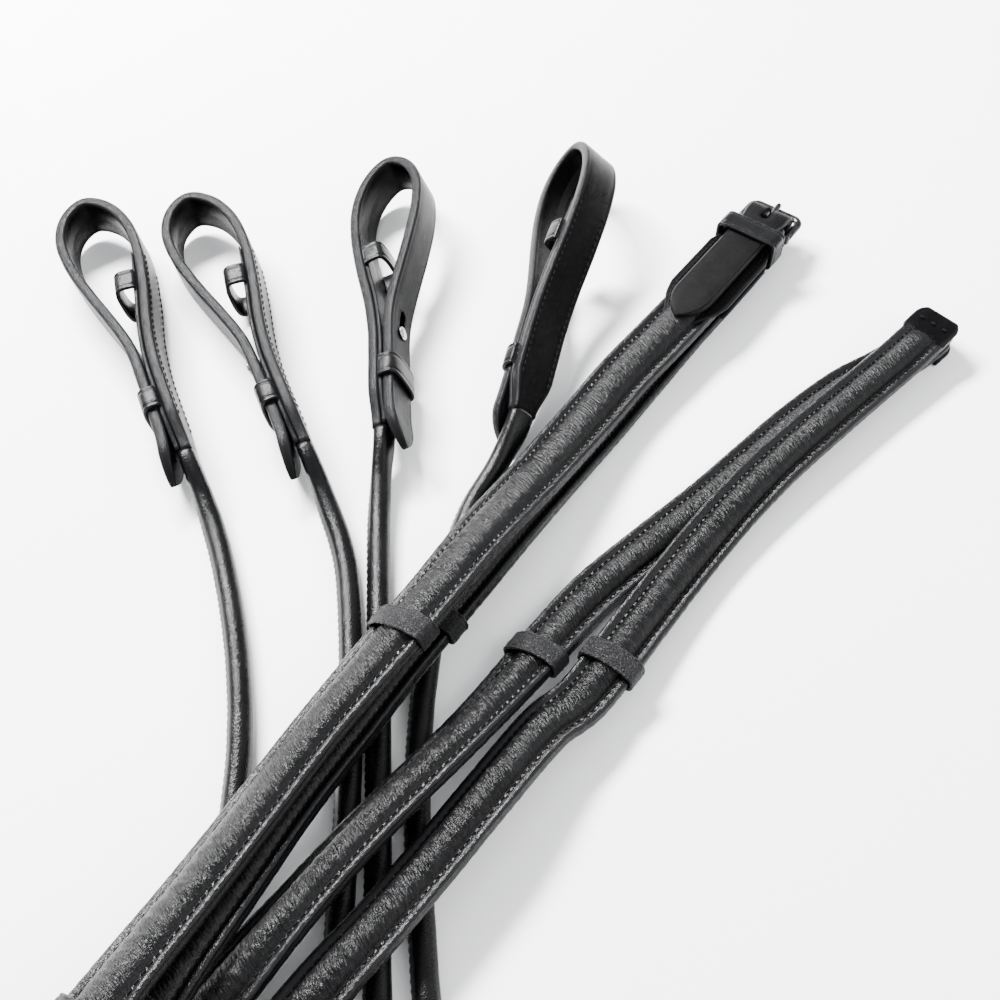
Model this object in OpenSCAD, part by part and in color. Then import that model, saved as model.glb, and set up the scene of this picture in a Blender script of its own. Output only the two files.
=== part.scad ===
// A set of two reins for a bridle, laid down in a long U. The wide rein has a buckle at its centre
// and the narrow rein a sewn fold. Each rein has two halves, and a half runs from the centre along
// a padded hand grip, round the U in a rolled strap, and back up to a billet loop.

/* [Hand grips] */
// Width of the wide rein's hand grip
wide_w = 19; // [17:0.5:19]
// Thickness of the wide rein's hand grip at its crown
wide_t = 5.8; // [5.4:0.1:5.8]
// Width of the narrow rein's hand grip
narrow_w = 16; // [14:0.5:16]
// Thickness of the narrow rein's hand grip at its crown
narrow_t = 5.2; // [4.8:0.1:5.2]
// Thickness of the backing strap under each grip
backing_t = 2; // [1.6:0.1:2]
// Width of the flat sewn edge along each side of a padded cover
flange_w = 2.6; // [2:0.1:3]

/* [Hand stops] */
// Length of a hand stop along the rein
stop_len = 7; // [6:0.5:9]
// Thickness of the leather in a hand stop
stop_t = 1.3; // [1:0.1:1.3]

/* [Rolled straps] */
// Diameter of a rolled strap
rolled_d = 7; // [6:0.5:7]

/* [Billets] */
// Width of a billet strap
billet_w = 15; // [13:0.5:15]
// Thickness of the billet leather
billet_t = 3.8; // [3.4:0.1:3.8]
// Thickness of the strip inside a billet's loop
liner_t = 1.75; // [1.6:0.05:1.8]
// Length of a keeper along the billet
keeper_len = 9; // [7:0.5:9]

/* [Centre buckle] */
// Width of the buckle frame, outside
frame_w = 23; // [23:0.5:25]
// Thickness of the buckle's wire
wire_d = 3; // [2.6:0.1:3]
// Distance from the chape bar to the front bar
frame_reach = 12.5; // [12.5:0.5:14]
// Width of the strap tab that passes through the buckle
tab_w = 15; // [12:0.5:15]
// Thickness of the strap tab
tab_t = 3; // [2:0.1:3]

/* [Hidden] */
$fn = 48;
leather = "#26262a";
suede = "#3a3a3e";
steel = "#b9bcc0";

// Routes of the four halves, from the centre to the billet. Each point is x, y, the height of the
// strap's middle, and its bank in degrees, with the left edge up when it is positive.
wide_left_route = [
    [89, 273, 3, 0], [79, 259.5, 3, 0], [65, 241, 3, 0], [50, 220, 3, 0],
    [34, 197, 3.6, 2], [18, 173.5, 6, 6], [2, 147.5, 11.3, 11], [-12, 125.5, 13.6, 15],
    [-28, 102, 14, 19], [-41.5, 80.5, 14.2, 21], [-55.5, 58.5, 14.2, 23], [-67, 37.5, 15, 23],
    [-78.5, 15.5, 17.2, 22], [-91.5, -9, 17.2, 12], [-103, -32, 17, 5], [-106, -56, 17, 0],
    [-109, -80, 16.5, 0], [-111, -106, 10, 0], [-112, -139, 5, 0], [-112, -179, 5, 0],
    [-112, -219, 5, 0], [-111, -249, 5, 0], [-105, -270, 4.6, 0], [-92, -284, 3.7, 0],
    [-75, -289, 3.5, 0], [-59, -279, 3.5, 0], [-51, -254, 3.5, 0], [-49, -214, 3.5, 0],
    [-50, -164, 3.5, 0], [-53, -114, 3.5, 0], [-60, -69, 3.5, 0], [-69, -29, 3.5, 0],
    [-73, 11, 3.5, 0], [-72, 51, 3.5, 0], [-73, 81, 3.5, 0], [-78, 111, 3.5, 0],
    [-86, 140, 3.5, 0], [-94, 161, 5.5, -5], [-101, 176, 10.2, -9]
];
wide_right_route = [
    [97, 284, 11.4, 0], [84, 267, 11.4, 0], [70, 247, 11.4, 0], [56, 229, 11, 0],
    [43, 213, 10.4, 2], [30, 194.5, 10.4, 6], [11, 166, 13.8, 14], [-6, 140.5, 18.4, 20],
    [-19.5, 117.5, 22.4, 25], [-35.5, 94, 23.1, 28], [-49.5, 75, 20.8, 31], [-64, 53, 18.8, 31],
    [-77.5, 30, 21, 30], [-89.5, 9, 24.6, 27], [-100, -11, 25.2, 16], [-105, -32, 23.5, 6],
    [-106, -56, 23.5, 0], [-109, -80, 23, 0], [-111, -106, 19, 0], [-112, -139, 15, 0],
    [-112, -179, 15, 0], [-112, -219, 15, 0], [-111, -249, 15, 0], [-105, -270, 14.5, 0],
    [-92, -284, 12.5, 0], [-75, -291, 11, 0], [-59, -284, 10.8, 0], [-47, -264, 9, 0],
    [-40, -239, 5, 0], [-38, -199, 3.5, 0], [-39, -149, 3.5, 0], [-40, -99, 3.5, 0],
    [-42, -59, 3.5, 0], [-42, -19, 3.5, 0], [-41, 16, 3.5, 0], [-41, 51, 3.5, 0],
    [-42, 81, 3.5, 0], [-44, 111, 3.5, 0], [-48, 140, 3.5, 0], [-56, 163, 5.5, -5],
    [-63, 179, 10.2, -9]
];
narrow_left_route = [
    [157, 239, 4.2, 0], [147, 230, 4.2, 0], [135, 222, 3.4, 0], [120, 213, 2.8, 0],
    [101, 197, 2.8, 0], [84, 180.5, 2.8, 0], [67, 164, 2.9, 2], [48.5, 147.5, 3, 3],
    [30, 130, 3.9, 5], [17, 114, 6.2, 12], [-2, 88.5, 11.3, 28], [-16, 71, 14.6, 33],
    [-29.5, 56.5, 14.6, 33], [-42.5, 41.5, 14.6, 31], [-55.5, 25, 14.3, 25], [-68.5, 8.5, 12.5, 8],
    [-83, -8, 8, 3], [-98, -25, 3.6, 0], [-115, -42, 3, 0], [-131, -63, 4.4, 0],
    [-142, -90, 4.8, 0], [-148, -124, 4.8, 0], [-150, -164, 4.8, 0], [-150, -204, 4.8, 0],
    [-149, -239, 4.8, 0], [-141, -274, 3.7, 0], [-126, -296, 3.5, 0], [-98, -308, 3.5, 0],
    [-66, -304, 3.5, 0], [-38, -284, 3.5, 0], [-20, -249, 3.5, 0], [-15, -204, 3.5, 0],
    [-16, -154, 3.5, 0], [-19, -104, 3.5, 0], [-22, -64, 3.5, 0], [-26, -24, 3.5, 0],
    [-30, 11, 3.5, 0], [-32, 46, 3.5, 0], [-34, 81, 3.5, 0], [-36, 116, 3.5, 0],
    [-38, 148, 3.5, 0], [-38.5, 169, 5.5, -11], [-38, 186, 10.1, -22]
];
narrow_right_route = [
    [157, 239, 9.6, 0], [147, 229, 9.6, 0], [136, 218.5, 8.9, 0], [124, 207.5, 8.4, 0],
    [107, 191.5, 8.1, 0], [90.5, 175.5, 7.9, -2], [74.5, 158, 7.4, -6], [59.5, 139.5, 7, -8],
    [44.5, 119.5, 7.2, -4], [24.5, 92, 8.9, 5], [12, 80.5, 10.5, 12], [-3, 61, 13.2, 18],
    [-17, 43, 13.2, 20], [-31.5, 25, 13.2, 19], [-41.5, 13.5, 12.7, 14], [-61, -11, 11.3, 4],
    [-77, -27, 10.4, 0], [-93, -44, 6.5, 0], [-109, -61, 4, 0], [-125, -80, 12.3, 0],
    [-138, -102, 15.5, 0], [-147, -129, 14.5, 0], [-150, -164, 14, 0], [-150, -204, 14, 0],
    [-149, -239, 14, 0], [-141, -274, 12, 0], [-125, -302, 11, 0], [-96, -318, 5, 0],
    [-63, -315, 3.5, 0], [-30, -294, 3.5, 0], [-10, -254, 3.5, 0], [-4, -204, 3.5, 0],
    [-4, -154, 3.5, 0], [-6, -104, 3.5, 0], [-9, -64, 3.5, 0], [-13, -24, 3.5, 0],
    [-18, 11, 3.5, 0], [-22, 56, 3.5, 0], [-22, 91, 3.5, 0], [-18, 126, 3.5, 0],
    [-10, 158, 3.5, 0], [0, 178, 5.5, -25], [7, 193, 11, -50]
];
WIDE_LEFT = 0;
WIDE_RIGHT = 1;
NARROW_LEFT = 2;
NARROW_RIGHT = 3;
routes = [wide_left_route, wide_right_route, narrow_left_route, narrow_right_route];
// Last ring of each hand grip, where the rolled strap starts
grip_end = [23, 24, 25, 25];
// First ring of each padded cover
cover_start = [0, 3, 0, 0];
// Heading and pitch of each billet, and 1 where it is mirrored
billet_turn = [[113.5, 0.8, 0], [113.2, 0.8, 0], [93.2, 0.6, 1], [76.8, 4.4, 0]];
// Distances of the hand stops from the centre, along each half
stop_places = [
    [194, 321, 448, 570], [219, 345, 467, 585], [200, 348, 438, 550], [186, 322, 441, 570]
];

// The buckle's chape bar: its place, and the heading from it to the front bar
bar_spot = [99, 286.5, 9.5];
buckle_heading = 53.5;
// The sewn fold of the narrow rein: its place and its outward heading
cap_spot = [157, 239, 0];
cap_heading = 44;

// Fits between pieces
stop_gap = 0.35;
bore_gap = 0.05;
strip_gap = 0.05;

// ---- Sweeping along a route ----
function unit(v) = v / norm(v);
function spot(k, i) = [routes[k][i].x, routes[k][i].y, routes[k][i].z];
function last_ring(k) = len(routes[k]) - 1;
function outward(k) = k < NARROW_LEFT ? buckle_heading : cap_heading;
function facing(heading, pitch) = [cos(pitch) * cos(heading), cos(pitch) * sin(heading), sin(pitch)];
// Direction of travel at ring i
function travel(k, i) =
    i == 0 ? facing(outward(k) + 180, 0) :
    i == last_ring(k) ? facing(billet_turn[k][0], billet_turn[k][1]) :
    unit(spot(k, i + 1) - spot(k, i - 1));
function level_left(k, i) = unit(cross([0, 0, 1], travel(k, i)));
function level_up(k, i) = cross(travel(k, i), level_left(k, i));
function bank(k, i) = routes[k][i][3];
function left(k, i) = level_left(k, i) * cos(bank(k, i)) + level_up(k, i) * sin(bank(k, i));
function up(k, i) = level_up(k, i) * cos(bank(k, i)) - level_left(k, i) * sin(bank(k, i));
function ring(k, i, profile) = [for (p = profile) spot(k, i) + p.x * left(k, i) + p.y * up(k, i)];

// Triangles that fill a flat ring of n points, between its first half and its second
function ladder(n) = [for (j = [0:n / 2 - 2]) each [[j, j + 1, n - 1 - j], [j + 1, n - 2 - j, n - 1 - j]]];

// A closed skin over rings of equal numbers of points; cap lists the triangles that close its ends
module skin(rings, cap, swap_diagonals = false) {
    sides = len(rings[0]);
    count = len(rings);
    points = [for (r = rings) for (p = r) p];
    walls = [
        for (i = [0:count - 2]) for (j = [0:sides - 1])
            let (a = i * sides + j, b = i * sides + (j + 1) % sides)
            let (c = b + sides, d = a + sides)
            each swap_diagonals ? [[d, b, a], [d, c, b]] : [[c, b, a], [d, c, a]]
    ];
    last = (count - 1) * sides;
    last_cap = [for (t = cap) [last + t[2], last + t[1], last + t[0]]];
    polyhedron(points, concat(cap, walls, last_cap), convexity = 10);
}

// ---- Hand grips ----
function grip_w(k) = k < NARROW_LEFT ? wide_w : narrow_w;
function grip_t(k) = k < NARROW_LEFT ? wide_t : narrow_t;
edge_cut = 0.5;
// A face is swept as narrow strips, with a slight bow, so that it stays true where the strap twists
face_strips = 4;
face_bow = 0.04;
function face(from, to, y) = [
    for (n = [0:face_strips])
        let (share = n / face_strips)
        [from + (to - from) * share, y + face_bow * 4 * share * (1 - share)]
];
function backing_profile(w, t) = concat(
    face(-w / 2 + edge_cut, w / 2 - edge_cut, -t / 2), [[w / 2, -t / 2 + edge_cut]],
    face(w / 2, -w / 2, -t / 2 + backing_t), [[-w / 2, -t / 2 + edge_cut]]
);
flange_t = 1.2;
shoulder_in = 1.9;
crown_drop = 0.8;
// The cover's outline; share runs from 0 at the backing to 1 at its full height
function cover_profile(w, t, share) =
    let (base = -t / 2 + backing_t, rise = t - backing_t)
    let (half = w / 2, shoulder = w / 2 - flange_w - shoulder_in)
    concat(face(-half, half, base), [
        [half, base + flange_t * share], [half - flange_w, base + flange_t * share],
        [shoulder, base + (rise - crown_drop) * share], [0, base + rise * share],
        [-shoulder, base + (rise - crown_drop) * share],
        [-half + flange_w, base + flange_t * share], [-half, base + flange_t * share]
    ]);
thin_end = 0.4;
// The cover's ends are hollow beside the flange, so their triangles run from the base
cover_cap = [
    [0, 1, 10], [0, 10, 11], [1, 2, 9], [1, 9, 10], [2, 3, 8],
    [2, 8, 9], [3, 7, 8], [3, 6, 7], [3, 4, 6], [4, 5, 6]
];

module backing_strap(k) {
    profile = backing_profile(grip_w(k), grip_t(k));
    color(leather) skin([for (i = [0:grip_end[k]]) ring(k, i, profile)], ladder(len(profile)));
}

module padded_cover(k) {
    first = cover_start[k];
    color(leather) skin([
        for (i = [first:grip_end[k]])
            let (share = i == first || i == grip_end[k] ? thin_end : 1)
            ring(k, i, cover_profile(grip_w(k), grip_t(k), share))
    ], cover_cap, swap_diagonals = true);
}

// ---- Hand stops ----
function run(k, i) = i == 0 ? 0 : run(k, i - 1) + norm(spot(k, i) - spot(k, i - 1));
// Moves its child to a distance along a half, square to the strap there
module at_distance(k, distance) {
    i = [for (j = [0:grip_end[k] - 1]) if (run(k, j) <= distance && distance < run(k, j + 1)) j][0];
    step = spot(k, i + 1) - spot(k, i);
    share = (distance - run(k, i)) / norm(step);
    tilt = bank(k, i) + share * (bank(k, i + 1) - bank(k, i));
    translate(spot(k, i) + share * step)
        rotate([tilt, -asin(step.z / norm(step)), atan2(step.y, step.x)]) children();
}

module hand_stop(k, number) {
    hole = [stop_len + 2, grip_w(k) + 2 * stop_gap, grip_t(k) + 2 * stop_gap];
    color(suede) at_distance(k, stop_places[k][number - 1]) difference() {
        cube([stop_len, hole.y + 2 * stop_t, hole.z + 2 * stop_t], center = true);
        cube(hole, center = true);
    }
}

// ---- Rolled straps ----
rolled_sides = 10;
function oval(across, tall) = [
    for (j = [0:rolled_sides - 1])
        let (a = 360 * j / rolled_sides) [across * cos(a), tall * sin(a)]
];
// Half sizes of the section at ring i: flat at the grip, round along the strap, on edge at the billet
function rolled_halves(k, i) =
    i == grip_end[k] ? [grip_w(k) / 2 - 2.5, 2.5] :
    i == grip_end[k] + 1 ? [rolled_d * 0.62, rolled_d * 0.44] :
    i == last_ring(k) ? [2.6, billet_w / 2] :
    i == last_ring(k) - 1 ? [3.1, 5.2] : [rolled_d / 2, rolled_d / 2];

module rolled_strap(k) {
    color(leather) skin([
        for (i = [grip_end[k]:last_ring(k)])
            let (halves = rolled_halves(k, i))
            ring(k, i, oval(halves[0], halves[1]))
    ], ladder(rolled_sides));
}

// ---- Billets ----
// In a billet's own frame x runs along the strap to the top of the loop, y to the left, z across it
module billet_frame(k) {
    translate(spot(k, last_ring(k)))
        rotate([bank(k, last_ring(k)), -billet_turn[k][1], billet_turn[k][0]])
            mirror([0, billet_turn[k][2], 0]) children();
}

curve_steps = 4;
function between(a, b, c, d, t) =
    0.5 * (2 * b + (c - a) * t + (2 * a - 5 * b + 4 * c - d) * t * t + (3 * b - a - 3 * c + d) * t * t * t);
function smooth(p) = [
    for (i = [0:len(p) - 2]) for (step = [0:curve_steps - 1])
        between(p[max(i - 1, 0)], p[i], p[i + 1], p[min(i + 2, len(p) - 1)], step / curve_steps),
    p[len(p) - 1]
];
function heading_2d(p, i) = unit(p[min(i + 1, len(p) - 1)] - p[max(i - 1, 0)]);
function beside(p, offsets) = [
    for (i = [0:len(p) - 1])
        let (h = heading_2d(p, i))
        p[i] + (is_list(offsets) ? offsets[i] : offsets) * [-h.y, h.x]
];
function backwards(p) = [for (i = [len(p) - 1:-1:0]) p[i]];

// Middle of the billet strap, up the rein arm, round the loop and down the tail
strap_line = smooth([
    [0, -0.9], [22, -0.9], [40, -1.2], [56, -2.9], [74, -6.3], [92, -8.7], [108, -8.5],
    [121, -4.3], [128.5, 3.7], [124, 11.9], [113, 16.3], [98, 15.9], [82, 12.7], [67, 8.9],
    [54, 5.9], [44, 4.8], [30, 4.75], [14, 4.75], [3, 5.3], [-9, 7.4]
]);
tail_tip_len = 13;
tail_straight_end = 4;
tail_inner_y = 2.3;
tail_outer_y = 12;
slot_w = 3.5;
slot_from = 39.5;
slot_to = 52;

// A flat pointed end: what it leaves of a strap of a given width that ends at x = -length
module point_shape(w, length) {
    radius = (w * w / 4 + length * length) / w;
    intersection() {
        translate([0, radius - w / 2]) circle(radius, $fn = 96);
        translate([0, w / 2 - radius]) circle(radius, $fn = 96);
        translate([-length, -w / 2]) square([length, w]);
    }
}

// Turns a flat shape in x and z into a block between two y values
module across_y(from, to) {
    translate([0, to, 0]) rotate([90, 0, 0]) linear_extrude(to - from) children();
}

module billet_strap(k) {
    outline = concat(beside(strap_line, billet_t / 2), backwards(beside(strap_line, -billet_t / 2)));
    color(leather) billet_frame(k) difference() {
        translate([0, 0, -billet_w / 2]) linear_extrude(billet_w) polygon(outline);
        across_y(tail_inner_y, tail_outer_y) translate([tail_straight_end, 0]) difference() {
            translate([-tail_tip_len - 4, -billet_w]) square([tail_tip_len + 4, 2 * billet_w]);
            point_shape(billet_w, tail_tip_len);
        }
        across_y(tail_inner_y, tail_outer_y) {
            translate([slot_from + slot_w / 2, 0]) circle(d = slot_w);
            translate([slot_to - slot_w / 2, 0]) circle(d = slot_w);
            translate([slot_from + slot_w / 2, -slot_w / 2])
                square([slot_to - slot_from - slot_w, slot_w]);
        }
    }
}

// ---- Keepers and liners ----
keeper_back = 0.9;
keeper_front = 1.4;
keeper_inner_w = billet_w + 0.2;
keeper_outer_w = billet_w + 3;
keeper_gap = 0.12;
lower_keeper_x = 22.5;
lower_keeper_depth = 4.75;
upper_keeper_at = 17;
upper_keeper_depth = 6;
keeper_stand = billet_t / 2 + keeper_gap;

module at_lower_keeper() {
    translate([lower_keeper_x, strap_line[0].y + keeper_stand, 0]) children();
}

module at_upper_keeper() {
    way = heading_2d(strap_line, upper_keeper_at);
    translate([strap_line[upper_keeper_at].x, strap_line[upper_keeper_at].y, 0])
        rotate([0, 0, atan2(way.y, way.x)]) translate([0, keeper_stand, 0]) children();
}

module keeper_band(depth) {
    translate([-keeper_len / 2, 0, 0]) difference() {
        translate([0, 0, -keeper_outer_w / 2])
            cube([keeper_len, keeper_back + depth + keeper_front, keeper_outer_w]);
        translate([-1, keeper_back, -keeper_inner_w / 2]) cube([keeper_len + 2, depth, keeper_inner_w]);
    }
}

// The room that the back of a keeper takes out of the liner
module keeper_room() {
    translate([-keeper_len / 2 - 0.2, -1, -keeper_outer_w / 2])
        cube([keeper_len + 0.4, 1 + keeper_back + strip_gap, keeper_outer_w]);
}

module upper_keeper(k) {
    color(leather) billet_frame(k) at_upper_keeper() keeper_band(upper_keeper_depth);
}

module lower_keeper(k) {
    color(leather) billet_frame(k) at_lower_keeper() keeper_band(lower_keeper_depth);
}

liner_rings = 20;
liner_full = 17;
liner_taper = 0.4;
plate_from = [36, 1.55];
plate_size = [12, 0.9, 9];

module billet_liner(k) {
    line = [for (i = [0:liner_rings]) strap_line[i]];
    inner = billet_t / 2 + strip_gap;
    outer = [for (i = [0:liner_rings]) inner + liner_t - max(0, i - liner_full) * liner_taper];
    color(leather) billet_frame(k) difference() {
        translate([0, 0, -billet_w / 2]) linear_extrude(billet_w)
            polygon(concat(beside(line, outer), backwards(beside(line, inner))));
        at_lower_keeper() keeper_room();
        at_upper_keeper() keeper_room();
        translate([plate_from.x - 0.1, plate_from.y - strip_gap, -plate_size.z / 2 - 0.1])
            cube([plate_size.x + 0.2, plate_size.y + 3, plate_size.z + 0.2]);
    }
}

stud_x = 42;
stud_stem_r = 1.2;
stud_head_r = 2.5;
stud_head_y = 6.85;
stud_head_t = 0.8;

module hook_stud(k) {
    stem_from = plate_from.y + plate_size.y / 2;
    color(steel) billet_frame(k) {
        translate([plate_from.x, plate_from.y, -plate_size.z / 2]) cube(plate_size);
        translate([stud_x, stem_from, 0]) rotate([-90, 0, 0])
            cylinder(stud_head_y + stud_head_t / 2 - stem_from, r = stud_stem_r);
        translate([stud_x, stud_head_y, 0]) rotate([-90, 0, 0]) cylinder(stud_head_t, r = stud_head_r);
    }
}

// ---- Centre buckle of the wide rein ----
// In the buckle's own frame x runs to the front bar, y to its left, z up, from the chape bar's middle
module buckle_place() {
    translate(bar_spot) rotate([0, 0, buckle_heading]) children();
}

rail_t = wire_d - 0.4;
corner_r = 4;

// The frame from above: a U with round front corners, open at the chape bar
module frame_plan() {
    front = frame_reach + wire_d / 2;
    difference() {
        union() {
            translate([0, -frame_w / 2]) square([front - corner_r, frame_w]);
            translate([0, corner_r - frame_w / 2]) square([front, frame_w - 2 * corner_r]);
            for (side = [-1, 1])
                translate([front - corner_r, side * (frame_w / 2 - corner_r)]) circle(corner_r);
        }
        translate([-1, wire_d - frame_w / 2]) square([1 + frame_reach - wire_d / 2, frame_w - 2 * wire_d]);
    }
}

module buckle_frame() {
    color(steel) buckle_place() {
        translate([0, 0, -rail_t / 2]) linear_extrude(rail_t) frame_plan();
        translate([0, frame_w / 2, 0]) rotate([90, 0, 0]) cylinder(frame_w, d = wire_d);
    }
}

bore_r = wire_d / 2 + bore_gap;
eye_wall = 1.2;
eye_w = 2.6;
shank_r = 1.2;
shank_gap = 0.2;
shank_len = 14.5;
shank_lift = asin((wire_d / 2 + shank_r + shank_gap) / frame_reach);

module buckle_tongue() {
    color(steel) buckle_place() difference() {
        union() {
            translate([0, eye_w / 2, 0]) rotate([90, 0, 0]) cylinder(eye_w, r = bore_r + eye_wall);
            rotate([0, 90 - shank_lift, 0])
                translate([0, 0, bore_r]) cylinder(shank_len - bore_r, r = shank_r);
        }
        translate([0, eye_w, 0]) rotate([90, 0, 0]) cylinder(2 * eye_w, r = bore_r);
    }
}

chape_t = 1.8;
fold_r = bore_r + chape_t;
leg_inner = 1.05;
leg_outer = leg_inner + chape_t;
upper_leg = 74;
lower_leg = 48;
leg_bend = 9;
gap_end = 1;
chape_wide = 24;
chape_waist = 21.2;
chape_neck = 16.4;
chape_tip = 70.8;
tongue_slot = 3.8;

// Outline of the chape from the side: the upper leg, the fold round the bar and the lower leg
module chape_side() {
    difference() {
        polygon(concat(
            [[-upper_leg, leg_inner], [-upper_leg, leg_outer], [-leg_bend, leg_outer]],
            [for (a = [90:-15:-90]) [fold_r * cos(a), fold_r * sin(a)]],
            [[-leg_bend, -leg_outer], [-lower_leg, -leg_outer], [-lower_leg, -leg_inner]],
            [[-gap_end, -leg_inner], [-gap_end, leg_inner]]
        ));
        circle(bore_r);
    }
}

// Outline of the chape from above, with its V end
module chape_plan() {
    half = [
        [5, chape_neck / 2], [-2.3, chape_neck / 2], [-4.5, chape_waist / 2], [-15, chape_waist / 2],
        [-18, chape_wide / 2], [-46, chape_wide / 2], [-52, chape_wide / 2 - 1.5], [-chape_tip, 0]
    ];
    polygon(concat(half, [for (p = backwards(half)) [p.x, -p.y]]));
}

module buckle_chape() {
    color(leather) buckle_place() intersection() {
        across_y(-chape_wide, chape_wide) chape_side();
        translate([0, 0, -5]) linear_extrude(10) difference() {
            chape_plan();
            translate([-3.6, -tongue_slot / 2]) square([10, tongue_slot]);
        }
    }
}

tab_start = -16.8;
tab_low = -7.8;
tab_high = 5;
tab_bend = 8.3;
tab_tip = -63.5;
tab_tip_len = 14;
tab_middle = (tab_low + tab_high) / 2;
tab_bend_half = (tab_high - tab_low) / 2;
// The tab's middle, seen from the side: out below, round the fold inside the frame, back on top
tab_line = concat(
    [[tab_start, tab_low]],
    [for (a = [-90:15:90]) [tab_bend * cos(a), tab_middle + tab_bend_half * sin(a)]],
    [[tab_tip, tab_high]]
);

module buckle_tab() {
    outline = concat(beside(tab_line, tab_t / 2), backwards(beside(tab_line, -tab_t / 2)));
    color(leather) buckle_place() difference() {
        across_y(-tab_w / 2, tab_w / 2) polygon(outline);
        translate([-0.3, -tongue_slot / 2, tab_middle - 0.1]) cube([12, tongue_slot, 12]);
        translate([tab_tip + tab_tip_len, 0, 0]) linear_extrude(10) difference() {
            translate([-tab_tip_len - 2, -tab_w]) square([tab_tip_len + 2, 2 * tab_w]);
            point_shape(tab_w, tab_tip_len);
        }
    }
}

centre_keeper_x = -10;
centre_keeper_len = 8.6;
centre_keeper_t = 1.4;

module centre_keeper() {
    low = -fold_r + 0.3;
    high = tab_high + tab_t / 2 + 0.1;
    half = chape_waist / 2 + 0.1;
    color(leather) buckle_place() translate([centre_keeper_x, 0, (low + high) / 2]) difference() {
        cube([centre_keeper_len, 2 * (half + centre_keeper_t), high - low + 2 * centre_keeper_t],
            center = true);
        cube([centre_keeper_len + 2, 2 * half, high - low], center = true);
    }
}

// ---- Sewn fold at the narrow rein's centre ----
cap_t = 1.5;
cap_len = 12;
cap_w = narrow_w + 1;
cap_high = 12.4;
cap_round = 4.2;

module narrow_centre_cap() {
    middle = (cap_high + cap_t) / 2;
    outer = concat(
        [[-cap_len, cap_high + cap_t], [-cap_len, 0]],
        [for (a = [-90:15:90]) [cap_round * cos(a) - 2, middle + middle * sin(a)]]
    );
    color(leather) translate(cap_spot) rotate([0, 0, cap_heading])
        across_y(-cap_w / 2, cap_w / 2) difference() {
            polygon(outer);
            translate([-cap_len - 1, cap_t]) square([cap_len + 1.05, cap_high - cap_t]);
        }
}

backing_strap(WIDE_LEFT);  // wide_left_backing_strap
padded_cover(WIDE_LEFT);  // wide_left_padded_cover
rolled_strap(WIDE_LEFT);  // wide_left_rolled_strap
billet_strap(WIDE_LEFT);  // wide_left_billet_strap
billet_liner(WIDE_LEFT);  // wide_left_billet_liner
upper_keeper(WIDE_LEFT);  // wide_left_upper_keeper
lower_keeper(WIDE_LEFT);  // wide_left_lower_keeper
hook_stud(WIDE_LEFT);  // wide_left_hook_stud
hand_stop(WIDE_LEFT, 1);  // wide_left_stop_1
hand_stop(WIDE_LEFT, 2);  // wide_left_stop_2
hand_stop(WIDE_LEFT, 3);  // wide_left_stop_3
hand_stop(WIDE_LEFT, 4);  // wide_left_stop_4
backing_strap(WIDE_RIGHT);  // wide_right_backing_strap
padded_cover(WIDE_RIGHT);  // wide_right_padded_cover
rolled_strap(WIDE_RIGHT);  // wide_right_rolled_strap
billet_strap(WIDE_RIGHT);  // wide_right_billet_strap
billet_liner(WIDE_RIGHT);  // wide_right_billet_liner
upper_keeper(WIDE_RIGHT);  // wide_right_upper_keeper
lower_keeper(WIDE_RIGHT);  // wide_right_lower_keeper
hook_stud(WIDE_RIGHT);  // wide_right_hook_stud
hand_stop(WIDE_RIGHT, 1);  // wide_right_stop_1
hand_stop(WIDE_RIGHT, 2);  // wide_right_stop_2
hand_stop(WIDE_RIGHT, 3);  // wide_right_stop_3
hand_stop(WIDE_RIGHT, 4);  // wide_right_stop_4
backing_strap(NARROW_LEFT);  // narrow_left_backing_strap
padded_cover(NARROW_LEFT);  // narrow_left_padded_cover
rolled_strap(NARROW_LEFT);  // narrow_left_rolled_strap
billet_strap(NARROW_LEFT);  // narrow_left_billet_strap
billet_liner(NARROW_LEFT);  // narrow_left_billet_liner
upper_keeper(NARROW_LEFT);  // narrow_left_upper_keeper
lower_keeper(NARROW_LEFT);  // narrow_left_lower_keeper
hook_stud(NARROW_LEFT);  // narrow_left_hook_stud
hand_stop(NARROW_LEFT, 1);  // narrow_left_stop_1
hand_stop(NARROW_LEFT, 2);  // narrow_left_stop_2
hand_stop(NARROW_LEFT, 3);  // narrow_left_stop_3
hand_stop(NARROW_LEFT, 4);  // narrow_left_stop_4
backing_strap(NARROW_RIGHT);  // narrow_right_backing_strap
padded_cover(NARROW_RIGHT);  // narrow_right_padded_cover
rolled_strap(NARROW_RIGHT);  // narrow_right_rolled_strap
billet_strap(NARROW_RIGHT);  // narrow_right_billet_strap
billet_liner(NARROW_RIGHT);  // narrow_right_billet_liner
upper_keeper(NARROW_RIGHT);  // narrow_right_upper_keeper
lower_keeper(NARROW_RIGHT);  // narrow_right_lower_keeper
hook_stud(NARROW_RIGHT);  // narrow_right_hook_stud
hand_stop(NARROW_RIGHT, 1);  // narrow_right_stop_1
hand_stop(NARROW_RIGHT, 2);  // narrow_right_stop_2
hand_stop(NARROW_RIGHT, 3);  // narrow_right_stop_3
hand_stop(NARROW_RIGHT, 4);  // narrow_right_stop_4
buckle_frame();
buckle_tongue();
buckle_chape();
buckle_tab();
centre_keeper();
narrow_centre_cap();
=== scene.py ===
"""The looks of a set of bridle reins laid down on a pale floor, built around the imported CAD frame."""
import math

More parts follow.
